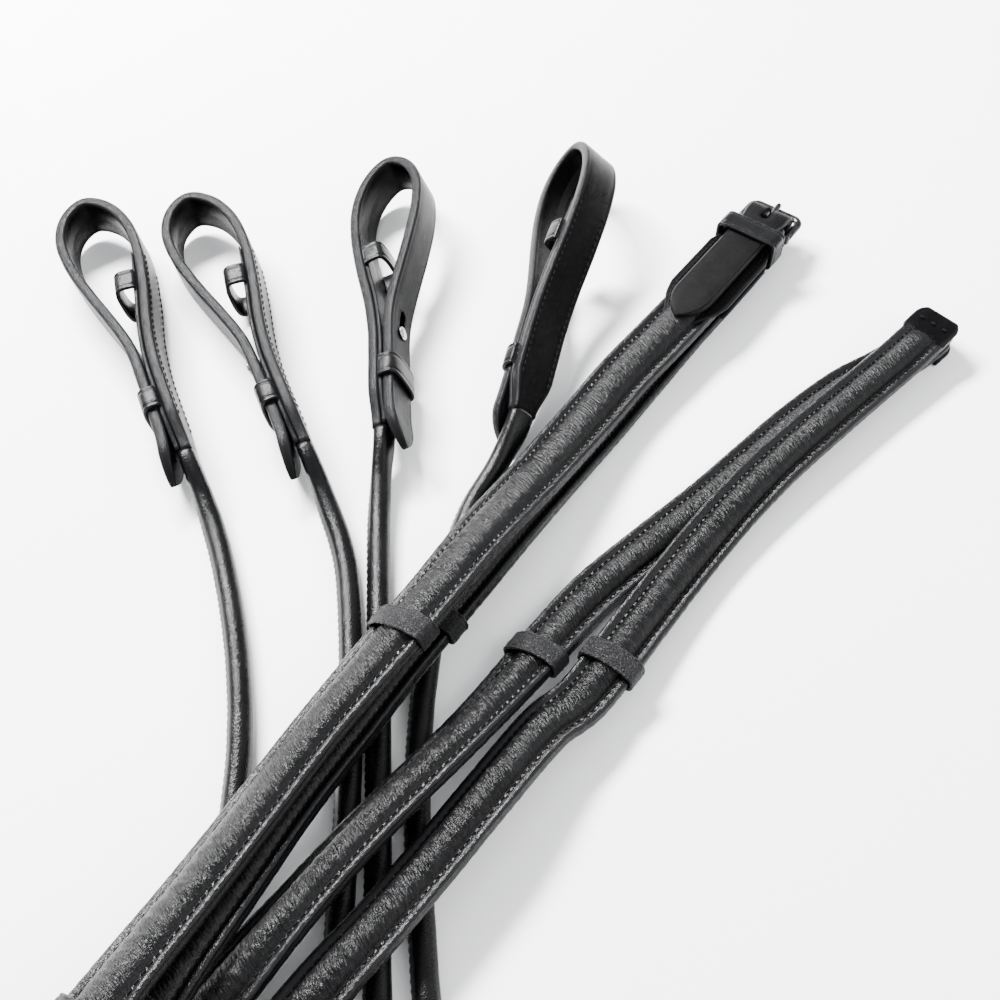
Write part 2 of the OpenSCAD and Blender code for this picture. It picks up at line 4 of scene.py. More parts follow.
import bpy
import numpy as np
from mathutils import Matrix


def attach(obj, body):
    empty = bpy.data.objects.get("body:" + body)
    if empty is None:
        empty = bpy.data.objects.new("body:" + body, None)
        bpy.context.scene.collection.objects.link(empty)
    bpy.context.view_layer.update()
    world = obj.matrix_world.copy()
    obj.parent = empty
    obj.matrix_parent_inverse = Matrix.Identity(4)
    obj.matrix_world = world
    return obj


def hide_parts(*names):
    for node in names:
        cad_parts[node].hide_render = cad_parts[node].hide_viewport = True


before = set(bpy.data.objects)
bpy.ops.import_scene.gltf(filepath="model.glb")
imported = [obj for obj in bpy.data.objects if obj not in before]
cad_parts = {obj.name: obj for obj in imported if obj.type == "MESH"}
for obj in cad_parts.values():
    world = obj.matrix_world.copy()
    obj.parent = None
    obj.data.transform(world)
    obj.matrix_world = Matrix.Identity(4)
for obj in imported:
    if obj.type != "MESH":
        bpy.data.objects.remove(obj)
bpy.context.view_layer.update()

MM = 0.001  # the shapes below are worked out in millimetres

# ---- The routes of the four halves, from the centre to the billet ----
# Each point is x, y and the height of the strap's middle, in metres, then its bank in degrees if it has one.
ROUTES = {
    "wide_left": [
        (0.089, 0.273, 0.003), (0.079, 0.2595, 0.003), (0.065, 0.241, 0.003), (0.05, 0.22, 0.003),
        (0.034, 0.197, 0.0036, 2), (0.018, 0.1735, 0.006, 6), (0.002, 0.1475, 0.0113, 11),
        (-0.012, 0.1255, 0.0136, 15), (-0.028, 0.102, 0.014, 19), (-0.0415, 0.0805, 0.0142, 21),
        (-0.0555, 0.0585, 0.0142, 23), (-0.067, 0.0375, 0.015, 23), (-0.0785, 0.0155, 0.0172, 22),
        (-0.0915, -0.009, 0.0172, 12), (-0.103, -0.032, 0.017, 5), (-0.106, -0.056, 0.017),
        (-0.109, -0.08, 0.0165), (-0.111, -0.106, 0.01), (-0.112, -0.139, 0.005), (-0.112, -0.179, 0.005),
        (-0.112, -0.219, 0.005), (-0.111, -0.249, 0.005), (-0.105, -0.27, 0.0046), (-0.092, -0.284, 0.0037),
        (-0.075, -0.289, 0.0035), (-0.059, -0.279, 0.0035), (-0.051, -0.254, 0.0035),
        (-0.049, -0.214, 0.0035), (-0.05, -0.164, 0.0035), (-0.053, -0.114, 0.0035),
        (-0.06, -0.069, 0.0035), (-0.069, -0.029, 0.0035), (-0.073, 0.011, 0.0035), (-0.072, 0.051, 0.0035),
        (-0.073, 0.081, 0.0035), (-0.078, 0.111, 0.0035), (-0.086, 0.14, 0.0035),
        (-0.094, 0.161, 0.0055, -5), (-0.101, 0.176, 0.0102, -9),
    ],
    "wide_right": [
        (0.097, 0.284, 0.0114), (0.084, 0.267, 0.0114), (0.07, 0.247, 0.0114), (0.056, 0.229, 0.011),
        (0.043, 0.213, 0.0104, 2), (0.03, 0.1945, 0.0104, 6), (0.011, 0.166, 0.0138, 14),
        (-0.006, 0.1405, 0.0184, 20), (-0.0195, 0.1175, 0.0224, 25), (-0.0355, 0.094, 0.0231, 28),
        (-0.0495, 0.075, 0.0208, 31), (-0.064, 0.053, 0.0188, 31), (-0.0775, 0.03, 0.021, 30),
        (-0.0895, 0.009, 0.0246, 27), (-0.1, -0.011, 0.0252, 16), (-0.105, -0.032, 0.0235, 6),
        (-0.106, -0.056, 0.0235), (-0.109, -0.08, 0.023), (-0.111, -0.106, 0.019), (-0.112, -0.139, 0.015),
        (-0.112, -0.179, 0.015), (-0.112, -0.219, 0.015), (-0.111, -0.249, 0.015), (-0.105, -0.27, 0.0145),
        (-0.092, -0.284, 0.0125), (-0.075, -0.291, 0.011), (-0.059, -0.284, 0.0108),
        (-0.047, -0.264, 0.009), (-0.04, -0.239, 0.005), (-0.038, -0.199, 0.0035), (-0.039, -0.149, 0.0035),
        (-0.04, -0.099, 0.0035), (-0.042, -0.059, 0.0035), (-0.042, -0.019, 0.0035),
        (-0.041, 0.016, 0.0035), (-0.041, 0.051, 0.0035), (-0.042, 0.081, 0.0035), (-0.044, 0.111, 0.0035),
        (-0.048, 0.14, 0.0035), (-0.056, 0.163, 0.0055, -5), (-0.063, 0.179, 0.0102, -9),
    ],
    "narrow_left": [
        (0.157, 0.239, 0.0042), (0.147, 0.23, 0.0042), (0.135, 0.222, 0.0034), (0.12, 0.213, 0.0028),
        (0.101, 0.197, 0.0028), (0.084, 0.1805, 0.0028), (0.067, 0.164, 0.0029, 2),
        (0.0485, 0.1475, 0.003, 3), (0.03, 0.13, 0.0039, 5), (0.017, 0.114, 0.0062, 12),
        (-0.002, 0.0885, 0.0113, 28), (-0.016, 0.071, 0.0146, 33), (-0.0295, 0.0565, 0.0146, 33),
        (-0.0425, 0.0415, 0.0146, 31), (-0.0555, 0.025, 0.0143, 25), (-0.0685, 0.0085, 0.0125, 8),
        (-0.083, -0.008, 0.008, 3), (-0.098, -0.025, 0.0036), (-0.115, -0.042, 0.003),
        (-0.131, -0.063, 0.0044), (-0.142, -0.09, 0.0048), (-0.148, -0.124, 0.0048),
        (-0.15, -0.164, 0.0048), (-0.15, -0.204, 0.0048), (-0.149, -0.239, 0.0048),
        (-0.141, -0.274, 0.0037), (-0.126, -0.296, 0.0035), (-0.098, -0.308, 0.0035),
        (-0.066, -0.304, 0.0035), (-0.038, -0.284, 0.0035), (-0.02, -0.249, 0.0035),
        (-0.015, -0.204, 0.0035), (-0.016, -0.154, 0.0035), (-0.019, -0.104, 0.0035),
        (-0.022, -0.064, 0.0035), (-0.026, -0.024, 0.0035), (-0.03, 0.011, 0.0035), (-0.032, 0.046, 0.0035),
        (-0.034, 0.081, 0.0035), (-0.036, 0.116, 0.0035), (-0.038, 0.148, 0.0035),
        (-0.0385, 0.169, 0.0055, -11), (-0.038, 0.186, 0.0101, -22),
    ],
    "narrow_right": [
        (0.157, 0.239, 0.0096), (0.147, 0.229, 0.0096), (0.136, 0.2185, 0.0089), (0.124, 0.2075, 0.0084),
        (0.107, 0.1915, 0.0081), (0.0905, 0.1755, 0.0079, -2), (0.0745, 0.158, 0.0074, -6),
        (0.0595, 0.1395, 0.007, -8), (0.0445, 0.1195, 0.0072, -4), (0.0245, 0.092, 0.0089, 5),
        (0.012, 0.0805, 0.0105, 12), (-0.003, 0.061, 0.0132, 18), (-0.017, 0.043, 0.0132, 20),
        (-0.0315, 0.025, 0.0132, 19), (-0.0415, 0.0135, 0.0127, 14), (-0.061, -0.011, 0.0113, 4),
        (-0.077, -0.027, 0.0104), (-0.093, -0.044, 0.0065), (-0.109, -0.061, 0.004),
        (-0.125, -0.08, 0.0123), (-0.138, -0.102, 0.0155), (-0.147, -0.129, 0.0145), (-0.15, -0.164, 0.014),
        (-0.15, -0.204, 0.014), (-0.149, -0.239, 0.014), (-0.141, -0.274, 0.012), (-0.125, -0.302, 0.011),
        (-0.096, -0.318, 0.005), (-0.063, -0.315, 0.0035), (-0.03, -0.294, 0.0035), (-0.01, -0.254, 0.0035),
        (-0.004, -0.204, 0.0035), (-0.004, -0.154, 0.0035), (-0.006, -0.104, 0.0035),
        (-0.009, -0.064, 0.0035), (-0.013, -0.024, 0.0035), (-0.018, 0.011, 0.0035),
        (-0.022, 0.056, 0.0035), (-0.022, 0.091, 0.0035), (-0.018, 0.126, 0.0035), (-0.01, 0.158, 0.0035),
        (0, 0.178, 0.0055, -25), (0.007, 0.193, 0.011, -50),
    ],
}
GRIP_END = {"wide_left": 23, "wide_right": 24, "narrow_left": 25, "narrow_right": 25}
STOPS = {
    "wide_left": (194, 321, 448, 570), "wide_right": (219, 345, 467, 585),
    "narrow_left": (200, 348, 438, 550), "narrow_right": (186, 322, 441, 570),
}
# Heading, pitch and mirroring of each billet
BILLET_TURN = {
    "wide_left": (113.5, 0.8, False), "wide_right": (113.2, 0.8, False),
    "narrow_left": (93.2, 0.6, True), "narrow_right": (76.8, 4.4, False),
}
BUCKLE_SPOT, BUCKLE_HEADING = (99, 286.5, 9.5), 53.5
CAP_SPOT, CAP_HEADING = (157, 239, 0), 44
HALVES = tuple(ROUTES)


def wide(half):
    return half.startswith("wide")


def grip_size(half):
    """Width and thickness of a half's hand grip."""
    return (19, 5.8) if wide(half) else (16, 5.2)


# ---- Camera ----
def make_camera():
    data = bpy.data.cameras.new("camera")
    data.lens = 43.2
    data.clip_start = 0.01
    camera = bpy.data.objects.new("camera", data)
    camera.location = (0, -0.0663, 0.314)
    camera.rotation_euler = (math.radians(90 - 53.5), 0, 0)
    bpy.context.scene.collection.objects.link(camera)
    bpy.context.scene.camera = camera


make_camera()


# ---- Lines in space ----
def unit(v):
    return v / np.linalg.norm(v, axis=-1, keepdims=True)


def catmull(p, steps):
    """A smooth line through p, without its first and last points, which only set its end directions."""
    a, b, c, d = (p[i:len(p) - 3 + i, None] for i in range(4))
    t = (np.arange(steps) / steps)[None, :, None]
    curve = 0.5 * (
        2 * b + (c - a) * t + (2 * a - 5 * b + 4 * c - d) * t ** 2 + (3 * b - a - 3 * c + d) * t ** 3
    )
    return np.vstack([curve.reshape(-1, p.shape[1]), p[-2]])


def facing(heading, pitch=0.0):
    h, e = math.radians(heading), math.radians(pitch)
    return np.array([math.cos(e) * math.cos(h), math.cos(e) * math.sin(h), math.sin(e)])


class Line:
    """A half's smooth middle line, with its travel, left and up directions at any distance."""

    def __init__(self, half):
        points = np.array([(*point, 0)[:4] for point in ROUTES[half]], float)
        points[:, :3] /= MM
        start = -facing(BUCKLE_HEADING if wide(half) else CAP_HEADING)
        end = facing(*BILLET_TURN[half][:2])
        before, after = points[1].copy(), points[-2].copy()
        before[:3] -= 2 * start * np.linalg.norm(points[1, :3] - points[0, :3])
        after[:3] += 2 * end * np.linalg.norm(points[-1, :3] - points[-2, :3])
        dense = catmull(np.vstack([before, points, after]), 24)
        run = np.concatenate([[0], np.cumsum(np.linalg.norm(np.diff(dense[:, :3], axis=0), axis=1))])
        self.length = run[-1]
        self.grip = run[GRIP_END[half] * 24]
        self.run = np.linspace(0, self.length, int(self.length * 2))
        self.table = np.stack([np.interp(self.run, run, dense[:, i]) for i in range(4)], axis=1)
        self.travel = unit(np.gradient(self.table[:, :3], self.run, axis=0))
        self.travel[0], self.travel[-1] = start, end

    def at(self, distance):
        """Place, travel, left and up at distances along the half."""
        d = np.atleast_1d(distance)
        place = np.stack([np.interp(d, self.run, self.table[:, i]) for i in range(3)], axis=1)
        bank = np.radians(np.interp(d, self.run, self.table[:, 3]))[:, None]
        travel = unit(np.stack([np.interp(d, self.run, self.travel[:, i]) for i in range(3)], axis=1))
        level_left = unit(np.cross([0, 0, 1], travel))
        level_up = np.cross(travel, level_left)
        left = level_left * np.cos(bank) + level_up * np.sin(bank)
        return place, travel, left, level_up * np.cos(bank) - level_left * np.sin(bank)


LINES = {half: Line(half) for half in HALVES}


def turned(axis, degrees):
    """Rotation matrix about x (0), y (1) or z (2)."""
    c, s = math.cos(math.radians(degrees)), math.sin(math.radians(degrees))
    m = np.eye(3)
    i, j = [(1, 2), (2, 0), (0, 1)][axis]
    m[i, i], m[i, j], m[j, i], m[j, j] = c, -s, s, c
    return m


class Place:
    """A local frame, from which points are carried into the shared one."""

    def __init__(self, spot, turn, mirrored=False):
        self.spot, self.turn, self.mirrored = np.array(spot, float), turn, mirrored
        if mirrored:
            self.turn = turn @ np.diag([1, -1, 1])

    def __call__(self, points):
        return np.asarray(points, float) @ self.turn.T + self.spot


def billet_place(half):
    heading, pitch, mirrored = BILLET_TURN[half]
    x, y, z, bank = ROUTES[half][-1]
    turn = turned(2, heading) @ turned(1, -pitch) @ turned(0, bank)
    return Place((x / MM, y / MM, z / MM), turn, mirrored)


BUCKLE = Place(BUCKLE_SPOT, turned(2, BUCKLE_HEADING))
CAP = Place(CAP_SPOT, turned(2, CAP_HEADING))


# ---- Meshes ----
def add_mesh(name, verts, faces, material, smooth=True, **marks):
    """An object from vertices in millimetres. marks are point values that its material reads."""
    mesh = bpy.data.meshes.new(name)
    mesh.from_pydata((np.asarray(verts) * MM).tolist(), [], [list(f) for f in faces])
    for key, values in marks.items():
        kind = "FLOAT_VECTOR" if np.ndim(values) == 2 else "FLOAT"
        field = "vector" if kind == "FLOAT_VECTOR" else "value"
        mesh.attributes.new(key, kind, "POINT").data.foreach_set(field, np.ravel(values).astype(np.float32))
    mesh.polygons.foreach_set("use_smooth", [smooth] * len(mesh.polygons))
    mesh.materials.append(material)
    mesh.update()
    obj = bpy.data.objects.new(name, mesh)
    bpy.context.scene.collection.objects.link(obj)
    return obj


def grid_faces(rows, columns, wrap_rows=False, flip=False):
    """The quads of a grid of points, in which each row closes on itself."""
    i = np.arange(rows if wrap_rows else rows - 1)[:, None]
    j = np.arange(columns)[None, :]
    i2, j2 = (i + 1) % rows, (j + 1) % columns
    quads = np.stack([i * columns + j, i * columns + j2, i2 * columns + j2, i2 * columns + j], axis=-1)
    quads = quads.reshape(-1, 4)
    return quads[:, ::-1] if flip else quads


def skin_faces(rows, columns, flip=False):
    """The faces of a closed skin: a grid's quads and its two end caps."""
    first, last = list(range(columns)), list(range((rows - 1) * columns, rows * columns))
    caps = [first, last[::-1]] if flip else [first[::-1], last]
    return grid_faces(rows, columns, flip=flip).tolist() + caps


def perimeter(profile):
    """Distance round a closed profile to each of its points."""
    steps = np.linalg.norm(np.diff(profile, axis=0), axis=-1)
    return np.concatenate([[0], np.cumsum(steps)])


def swept(name, rings, along, around, edge, material, flip=False):
    """A closed skin over rings of points; along, around and edge mark where each point is."""
    rows, columns = rings.shape[:2]
    shape = (rows, columns)
    strap = np.stack([np.broadcast_to(around, shape), np.broadcast_to(along[:, None], shape),
                      np.zeros(shape)], axis=-1)
    return add_mesh(name, rings.reshape(-1, 3), skin_faces(rows, columns, flip), material,
                    strap=strap.reshape(-1, 3), edge=np.broadcast_to(edge, shape).ravel())


def wobble(v, seed, low, high):
    """A smooth uneven value along v, from about -1 to 1; low and high are its waves per unit."""
    waves = 7
    rng = np.random.default_rng(seed)
    rates = rng.uniform(low, high, waves) * 2 * math.pi
    shifts = rng.uniform(0, 2 * math.pi, waves)
    return np.sin(np.multiply.outer(np.asarray(v, float), rates) + shifts).sum(-1) / math.sqrt(waves) / 1.4


def stitch_mesh(name, places, along, side, out, length, width):
    """A row of threads, each a short rounded pad lying along the seam."""
    rows, columns = 7, 8
    t = np.linspace(-1, 1, rows)
    swell = np.sqrt(np.clip(1 - np.abs(t) ** 2.5, 0.02, 1))
    a = 2 * math.pi * np.arange(columns) / columns
    ring = np.stack([np.cos(a), np.sin(a)], axis=-1)
    body = np.zeros((rows, columns, 3))
    body[..., 0] = t[:, None] * length / 2
    body[..., 1:] = ring[None] * swell[:, None, None] * width / 2
    body[..., 2] += (1 - t ** 2)[:, None] * width * 0.25
    axes = np.stack([along, side, out], axis=1)
    verts = places[:, None, None, :] + np.einsum("rck,nkx->nrcx", body, axes)
    one = skin_faces(rows, columns)
    faces = [[i + n * rows * columns for i in f] for n in range(len(places)) for f in one]
    return add_mesh(name, verts.reshape(-1, 3), faces, THREAD)


def finish_piece(obj, body="root", replaces=()):
    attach(obj, body)
    if replaces:
        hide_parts(*replaces)
    return obj


# ---- Materials ----
class Nodes:
    """Short names for making a material's nodes."""

    def __init__(self, name):
        self.material = bpy.data.materials.new(name)
        self.material.use_nodes = True
        self.tree = self.material.node_tree
        self.shader = self.tree.nodes["Principled BSDF"]

    def add(self, kind, **settings):
        node = self.tree.nodes.new("ShaderNode" + kind)
        for key, value in settings.items():
            setattr(node, key, value)
        return node

    def link(self, source, target):
        self.tree.links.new(source, target)

    def mark(self, key, output):
        return self.add("Attribute", attribute_name=key).outputs[output]

    def scaled(self, vector, scale):
        node = self.add("Mapping")
        node.inputs["Scale"].default_value = scale
        self.link(vector, node.inputs["Vector"])
        return node.outputs["Vector"]

    def noise(self, vector, detail=3.0, roughness=0.55):
        node = self.add("TexNoise")
        node.inputs["Scale"].default_value = 1.0
        node.inputs["Detail"].default_value = detail
        node.inputs["Roughness"].default_value = roughness
        self.link(vector, node.inputs["Vector"])
        return node.outputs["Fac"]

    def cells(self, vector):
        node = self.add("TexVoronoi", feature="DISTANCE_TO_EDGE")
        node.inputs["Scale"].default_value = 1.0
        self.link(vector, node.inputs["Vector"])
        return node.outputs["Distance"]

    def ramp(self, value, low, high, out_low=0.0, out_high=1.0):
        node = self.add("MapRange")
        for key, number in zip(("From Min", "From Max", "To Min", "To Max"), (low, high, out_low, out_high)):
            node.inputs[key].default_value = number
        self.link(value, node.inputs["Value"])
        return node.outputs["Result"]

    def math(self, operation, first, second):
        node = self.add("Math", operation=operation)
        for socket, value in zip(node.inputs, (first, second)):
            if isinstance(value, (int, float)):
                socket.default_value = value
            else:
                self.link(value, socket)
        return node.outputs["Value"]

    def mix_colour(self, share, first, second):
        node = self.add("Mix", data_type="RGBA")
        self.link(share, node.inputs["Factor"])
        for socket, value in zip((node.inputs[6], node.inputs[7]), (first, second)):
            if isinstance(value, tuple):
                socket.default_value = (*value, 1)
            else:
                self.link(value, socket)
        return node.outputs[2]

    def bump(self, height, strength, distance, normal=None):
        node = self.add("Bump")
        node.inputs["Strength"].default_value = strength
        node.inputs["Distance"].default_value = distance * MM
        self.link(height, node.inputs["Height"])
        if normal is not None:
            self.link(normal, node.inputs["Normal"])
        return node.outputs["Normal"]


def leather(name, dark, pale, rough, grain_size, grain_depth, wrinkle_depth=0.0, wear=(0.03, 0.03, 0.032),
            wear_share=0.6, shine=0.15, sheen=0.0):
    """Black leather with a pebbled grain, uneven colour, paler edges, and cross wrinkles where padded."""
    n = Nodes(name)
    strap = n.mark("strap", "Vector")
    edge = n.mark("edge", "Fac")
    broad = n.noise(n.scaled(strap, (0.16, 0.07, 1)), 4, 0.6)
    fine = n.noise(n.scaled(strap, (2.2 / grain_size, 2.2 / grain_size, 1)), 3, 0.6)
    pebbles = n.cells(n.scaled(strap, (1 / grain_size, 1 / grain_size, 1)))
    body = n.mix_colour(n.ramp(broad, 0.3, 0.7), dark, pale)
    worn = n.math("MULTIPLY", n.math("MULTIPLY", edge, wear_share), n.ramp(fine, 0.25, 0.7, 0.35, 1.0))
    n.link(n.mix_colour(worn, body, wear), n.shader.inputs["Base Color"])
    roughness = n.math("ADD", n.ramp(broad, 0.3, 0.7, rough - 0.05, rough + 0.06),
                       n.ramp(fine, 0.3, 0.7, -0.04, 0.04))
    polished = n.math("SUBTRACT", roughness, n.math("MULTIPLY", edge, 0.1))
    n.link(polished, n.shader.inputs["Roughness"])
    n.shader.inputs["Specular IOR Level"].default_value = shine
    n.shader.inputs["Sheen Weight"].default_value = sheen
    n.shader.inputs["Sheen Roughness"].default_value = 0.45
    normal = n.bump(n.ramp(pebbles, 0.0, 0.22), 0.8, grain_depth)
    normal = n.bump(fine, 0.6, grain_depth, normal)
    if wrinkle_depth:
        skewed = n.add("VectorMath", operation="ADD")
        n.link(strap, skewed.inputs[0])
        swerve = n.noise(n.scaled(strap, (0.25, 0.1, 1)), 2, 0.5)
        parts = n.add("SeparateXYZ")
        n.link(strap, parts.inputs["Vector"])
        joined = n.add("CombineXYZ")
        lean = n.math("ADD", n.math("MULTIPLY", parts.outputs["X"], 0.35), n.math("MULTIPLY", swerve, 0.8))
        n.link(lean, joined.inputs["Y"])
        n.link(joined.outputs["Vector"], skewed.inputs[1])
        creases = n.noise(n.scaled(skewed.outputs["Vector"], (0.26, 1.5, 1)), 2, 0.5)
        amount = n.math("MULTIPLY", n.ramp(creases, 0.32, 0.68), n.mark("puff", "Fac"))
        normal = n.bump(amount, 1.0, wrinkle_depth, normal)
    n.link(normal, n.shader.inputs["Normal"])
    return n.material


def steel(name, dark, pale, rough):
    """Worn polished metal: fine streaks, and smudged colour and roughness."""
    n = Nodes(name)
    spot = n.add("TexCoord").outputs["Object"]
    smudge = n.noise(n.scaled(spot, (260, 260, 260)), 4, 0.6)
    streaks = n.noise(n.scaled(spot, (600, 9000, 600)), 3, 0.6)
    n.link(n.mix_colour(n.ramp(smudge, 0.35, 0.65), dark, pale), n.shader.inputs["Base Color"])
    n.shader.inputs["Metallic"].default_value = 1.0
    smudged = n.ramp(smudge, 0.3, 0.7, rough, rough + 0.16)
    n.link(n.math("ADD", smudged, n.ramp(streaks, 0.3, 0.7, -0.03, 0.05)), n.shader.inputs["Roughness"])
    n.link(n.bump(streaks, 0.35, 0.02), n.shader.inputs["Normal"])
    return n.material


def thread(name, colour):
    """Waxed thread: a twist that runs round each stitch."""
    n = Nodes(name)
    spot = n.add("TexCoord").outputs["Object"]
    twist = n.add("TexWave", bands_direction="DIAGONAL")
    twist.inputs["Scale"].default_value = 900
    twist.inputs["Distortion"].default_value = 1.5
    n.link(spot, twist.inputs["Vector"])
    turns = twist.outputs["Fac"]
    n.link(n.mix_colour(turns, colour, tuple(3 * c for c in colour)), n.shader.inputs["Base Color"])
    n.link(n.ramp(turns, 0, 1, 0.65, 0.8), n.shader.inputs["Roughness"])
    n.shader.inputs["Specular IOR Level"].default_value = 0.06
    n.link(n.bump(turns, 0.6, 0.06), n.shader.inputs["Normal"])
    return n.material


PADDED = leather("padded_leather", (0.0008, 0.0008, 0.001), (0.0022, 0.0022, 0.0025), 0.29, 0.6, 0.055,
                 wrinkle_depth=0.34, wear=(0.007, 0.007, 0.0076), wear_share=0.5, shine=0.15)
STRAP = leather("strap_leather", (0.0005, 0.0005, 0.0006), (0.0015, 0.0015, 0.0017), 0.3, 0.65, 0.05,
                wear=(0.011, 0.011, 0.012), wear_share=0.9, shine=0.035)
ROLLED = leather("rolled_leather", (0.0008, 0.0008, 0.001), (0.0022, 0.0022, 0.0025), 0.27, 0.75, 0.045,
                 wear=(0.007, 0.007, 0.008), shine=0.12)
KEEPER = leather("keeper_leather", (0.0015, 0.0015, 0.0018), (0.0036, 0.0036, 0.004), 0.28, 0.6, 0.035,
                 wear=(0.01, 0.01, 0.011), shine=0.09)
SUEDE = leather("suede_leather", (0.0018, 0.0018, 0.0021), (0.0055, 0.0055, 0.0061), 0.42, 0.8, 0.3,
                wear=(0.012, 0.012, 0.013), shine=0.14, sheen=0.02)
MATT = leather("matt_tab_leather", (0.0008, 0.0008, 0.001), (0.0018, 0.0018, 0.002), 0.42, 0.4, 0.05,
               wear=(0.007, 0.007, 0.0076), shine=0.05)
DARK_STEEL = steel("dark_steel", (0.012, 0.012, 0.013), (0.045, 0.045, 0.048), 0.2)
BRIGHT_STEEL = steel("bright_steel", (0.3, 0.3, 0.31), (0.5, 0.5, 0.51), 0.2)
THREAD = thread("black_thread", (0.0016, 0.0016, 0.0018))


# ---- Hand grips ----
FLANGE = 3.4  # from the edge to the foot of the puffed core
SEAM = 2.9  # from the edge to the stitches
PITCH = 2.4  # from stitch to stitch
CORE_SHARES = np.array([-1, -0.94, -0.84, -0.7, -0.5, -0.25, 0, 0.25, 0.5, 0.7, 0.84, 0.94, 1])
# Height of the flange over the backing's foot, at distances in from the edge
FLANGE_RISE = ((0.0, 0.0), (0.28, 0.42), (0.9, 0.66), (1.6, 0.6), (2.3, 0.3), (SEAM, 0.02))


def grip_profile(w, t):
    """Across, height, edge wear and puff of each point round a hand grip, from the middle of its back."""
    half, core = w / 2, w / 2 - FLANGE
    foot = 0.25
    rows = []
    for u, h in ((0, -t / 2), (0.5, -t / 2), (0.86, -t / 2 + 0.02)):
        rows.append((u * half, h, 0, 0))
    side = ((0.25, -t / 2 + 0.12, 0.5), (0.02, -t / 2 + 0.55, 0.8), (0.0, -t / 2 + 1.6, 0.6),
            (0.14, -t / 2 + 1.98, 0.1), (0.02, -t / 2 + 2.3, 0.7))
    rows += [(half - d, h, e, 0) for d, h, e in side]
    rows += [(half - d, r - 0.02, 1.0 if 0.2 < d < 1.2 else 0.5, 0) for d, r in FLANGE_RISE]
    right = [(core * s, foot + (t / 2 - foot) * (1 - abs(s) ** 2.4) ** 0.75, 0, 1 - abs(s) ** 6)
             for s in CORE_SHARES[::-1]]
    left = [(-u, h, e, p) for u, h, e, p in rows[1:]][::-1]
    return np.array(rows + right + left)


def make_grip(half):
    line, (w, t) = LINES[half], grip_size(half)
    seed = HALVES.index(half) * 10
    v = np.linspace(0, line.grip, int(line.grip / 0.6))
    place, _, left, up = line.at(v)
    profile = grip_profile(w, t)
    across, height, edge, puff = profile.T
    start = 4.0 if wide(half) else 9.0
    swell = np.clip(np.minimum((v - start) / 10, (line.grip - v) / 16), 0, 1)
    swell = (swell * swell * (3 - 2 * swell))[:, None]
    rise = np.clip(height + t / 2 - 2.9, 0, None)
    low = height - rise * (1 - swell) * 0.9
    slow = wobble(v, seed + 1, low=0.04, high=0.15)[:, None]
    quick = wobble(v[:, None] + across * 0.35, seed + 2, low=0.12, high=0.42)
    lift = puff * swell * (0.12 * slow + 0.13 * quick)
    pinch = np.cos(2 * math.pi * v / PITCH)[:, None]
    seam = np.exp(-((np.abs(across) - (w / 2 - SEAM)) / 0.75) ** 2) * (height > -0.5)
    lift = lift - 0.15 * seam * (0.6 + pinch) * (0.4 + 0.6 * swell)
    lift = lift + 0.05 * (edge > 0.6) * wobble(v[:, None] + across, seed + 3, low=0.1, high=0.5)
    narrow = 1 - 0.22 * np.clip((v - line.grip + 14) / 14, 0, 1)[:, None] ** 2
    if not wide(half):
        narrow -= 0.4 * np.clip(1 - v / 5.5, 0, 1)[:, None] ** 2  # rounded off inside the cap
    shift = 0.06 * wobble(v, seed + 4, low=0.05, high=0.3)[:, None]
    rings = place[:, None] + (across * narrow + shift)[..., None] * left[:, None]
    rings = rings + (low + lift)[..., None] * up[:, None]
    around = perimeter(profile[:, :2])
    obj = swept(half + "_hand_grip", rings, v, around, edge, PADDED)
    mark = obj.data.attributes.new("puff", "FLOAT", "POINT")
    mark.data.foreach_set("value", (puff * (0.25 + 0.75 * swell)).astype(np.float32).ravel())
    finish_piece(obj, replaces=(half + "_padded_cover", half + "_backing_strap"))
    at = np.arange(PITCH / 2 + 2, line.grip - 14, PITCH)
    for side, word in ((1, "left"), (-1, "right")):
        spot, along, beside, out = line.at(at)
        spot = spot + beside * side * (w / 2 - SEAM) + out * 0.05
        row = stitch_mesh(f"{half}_{word}_stitching", spot, along, beside, out, 1.7, 0.66)
        finish_piece(row)


# ---- Rolled straps ----
ROLLED_R = 3.5


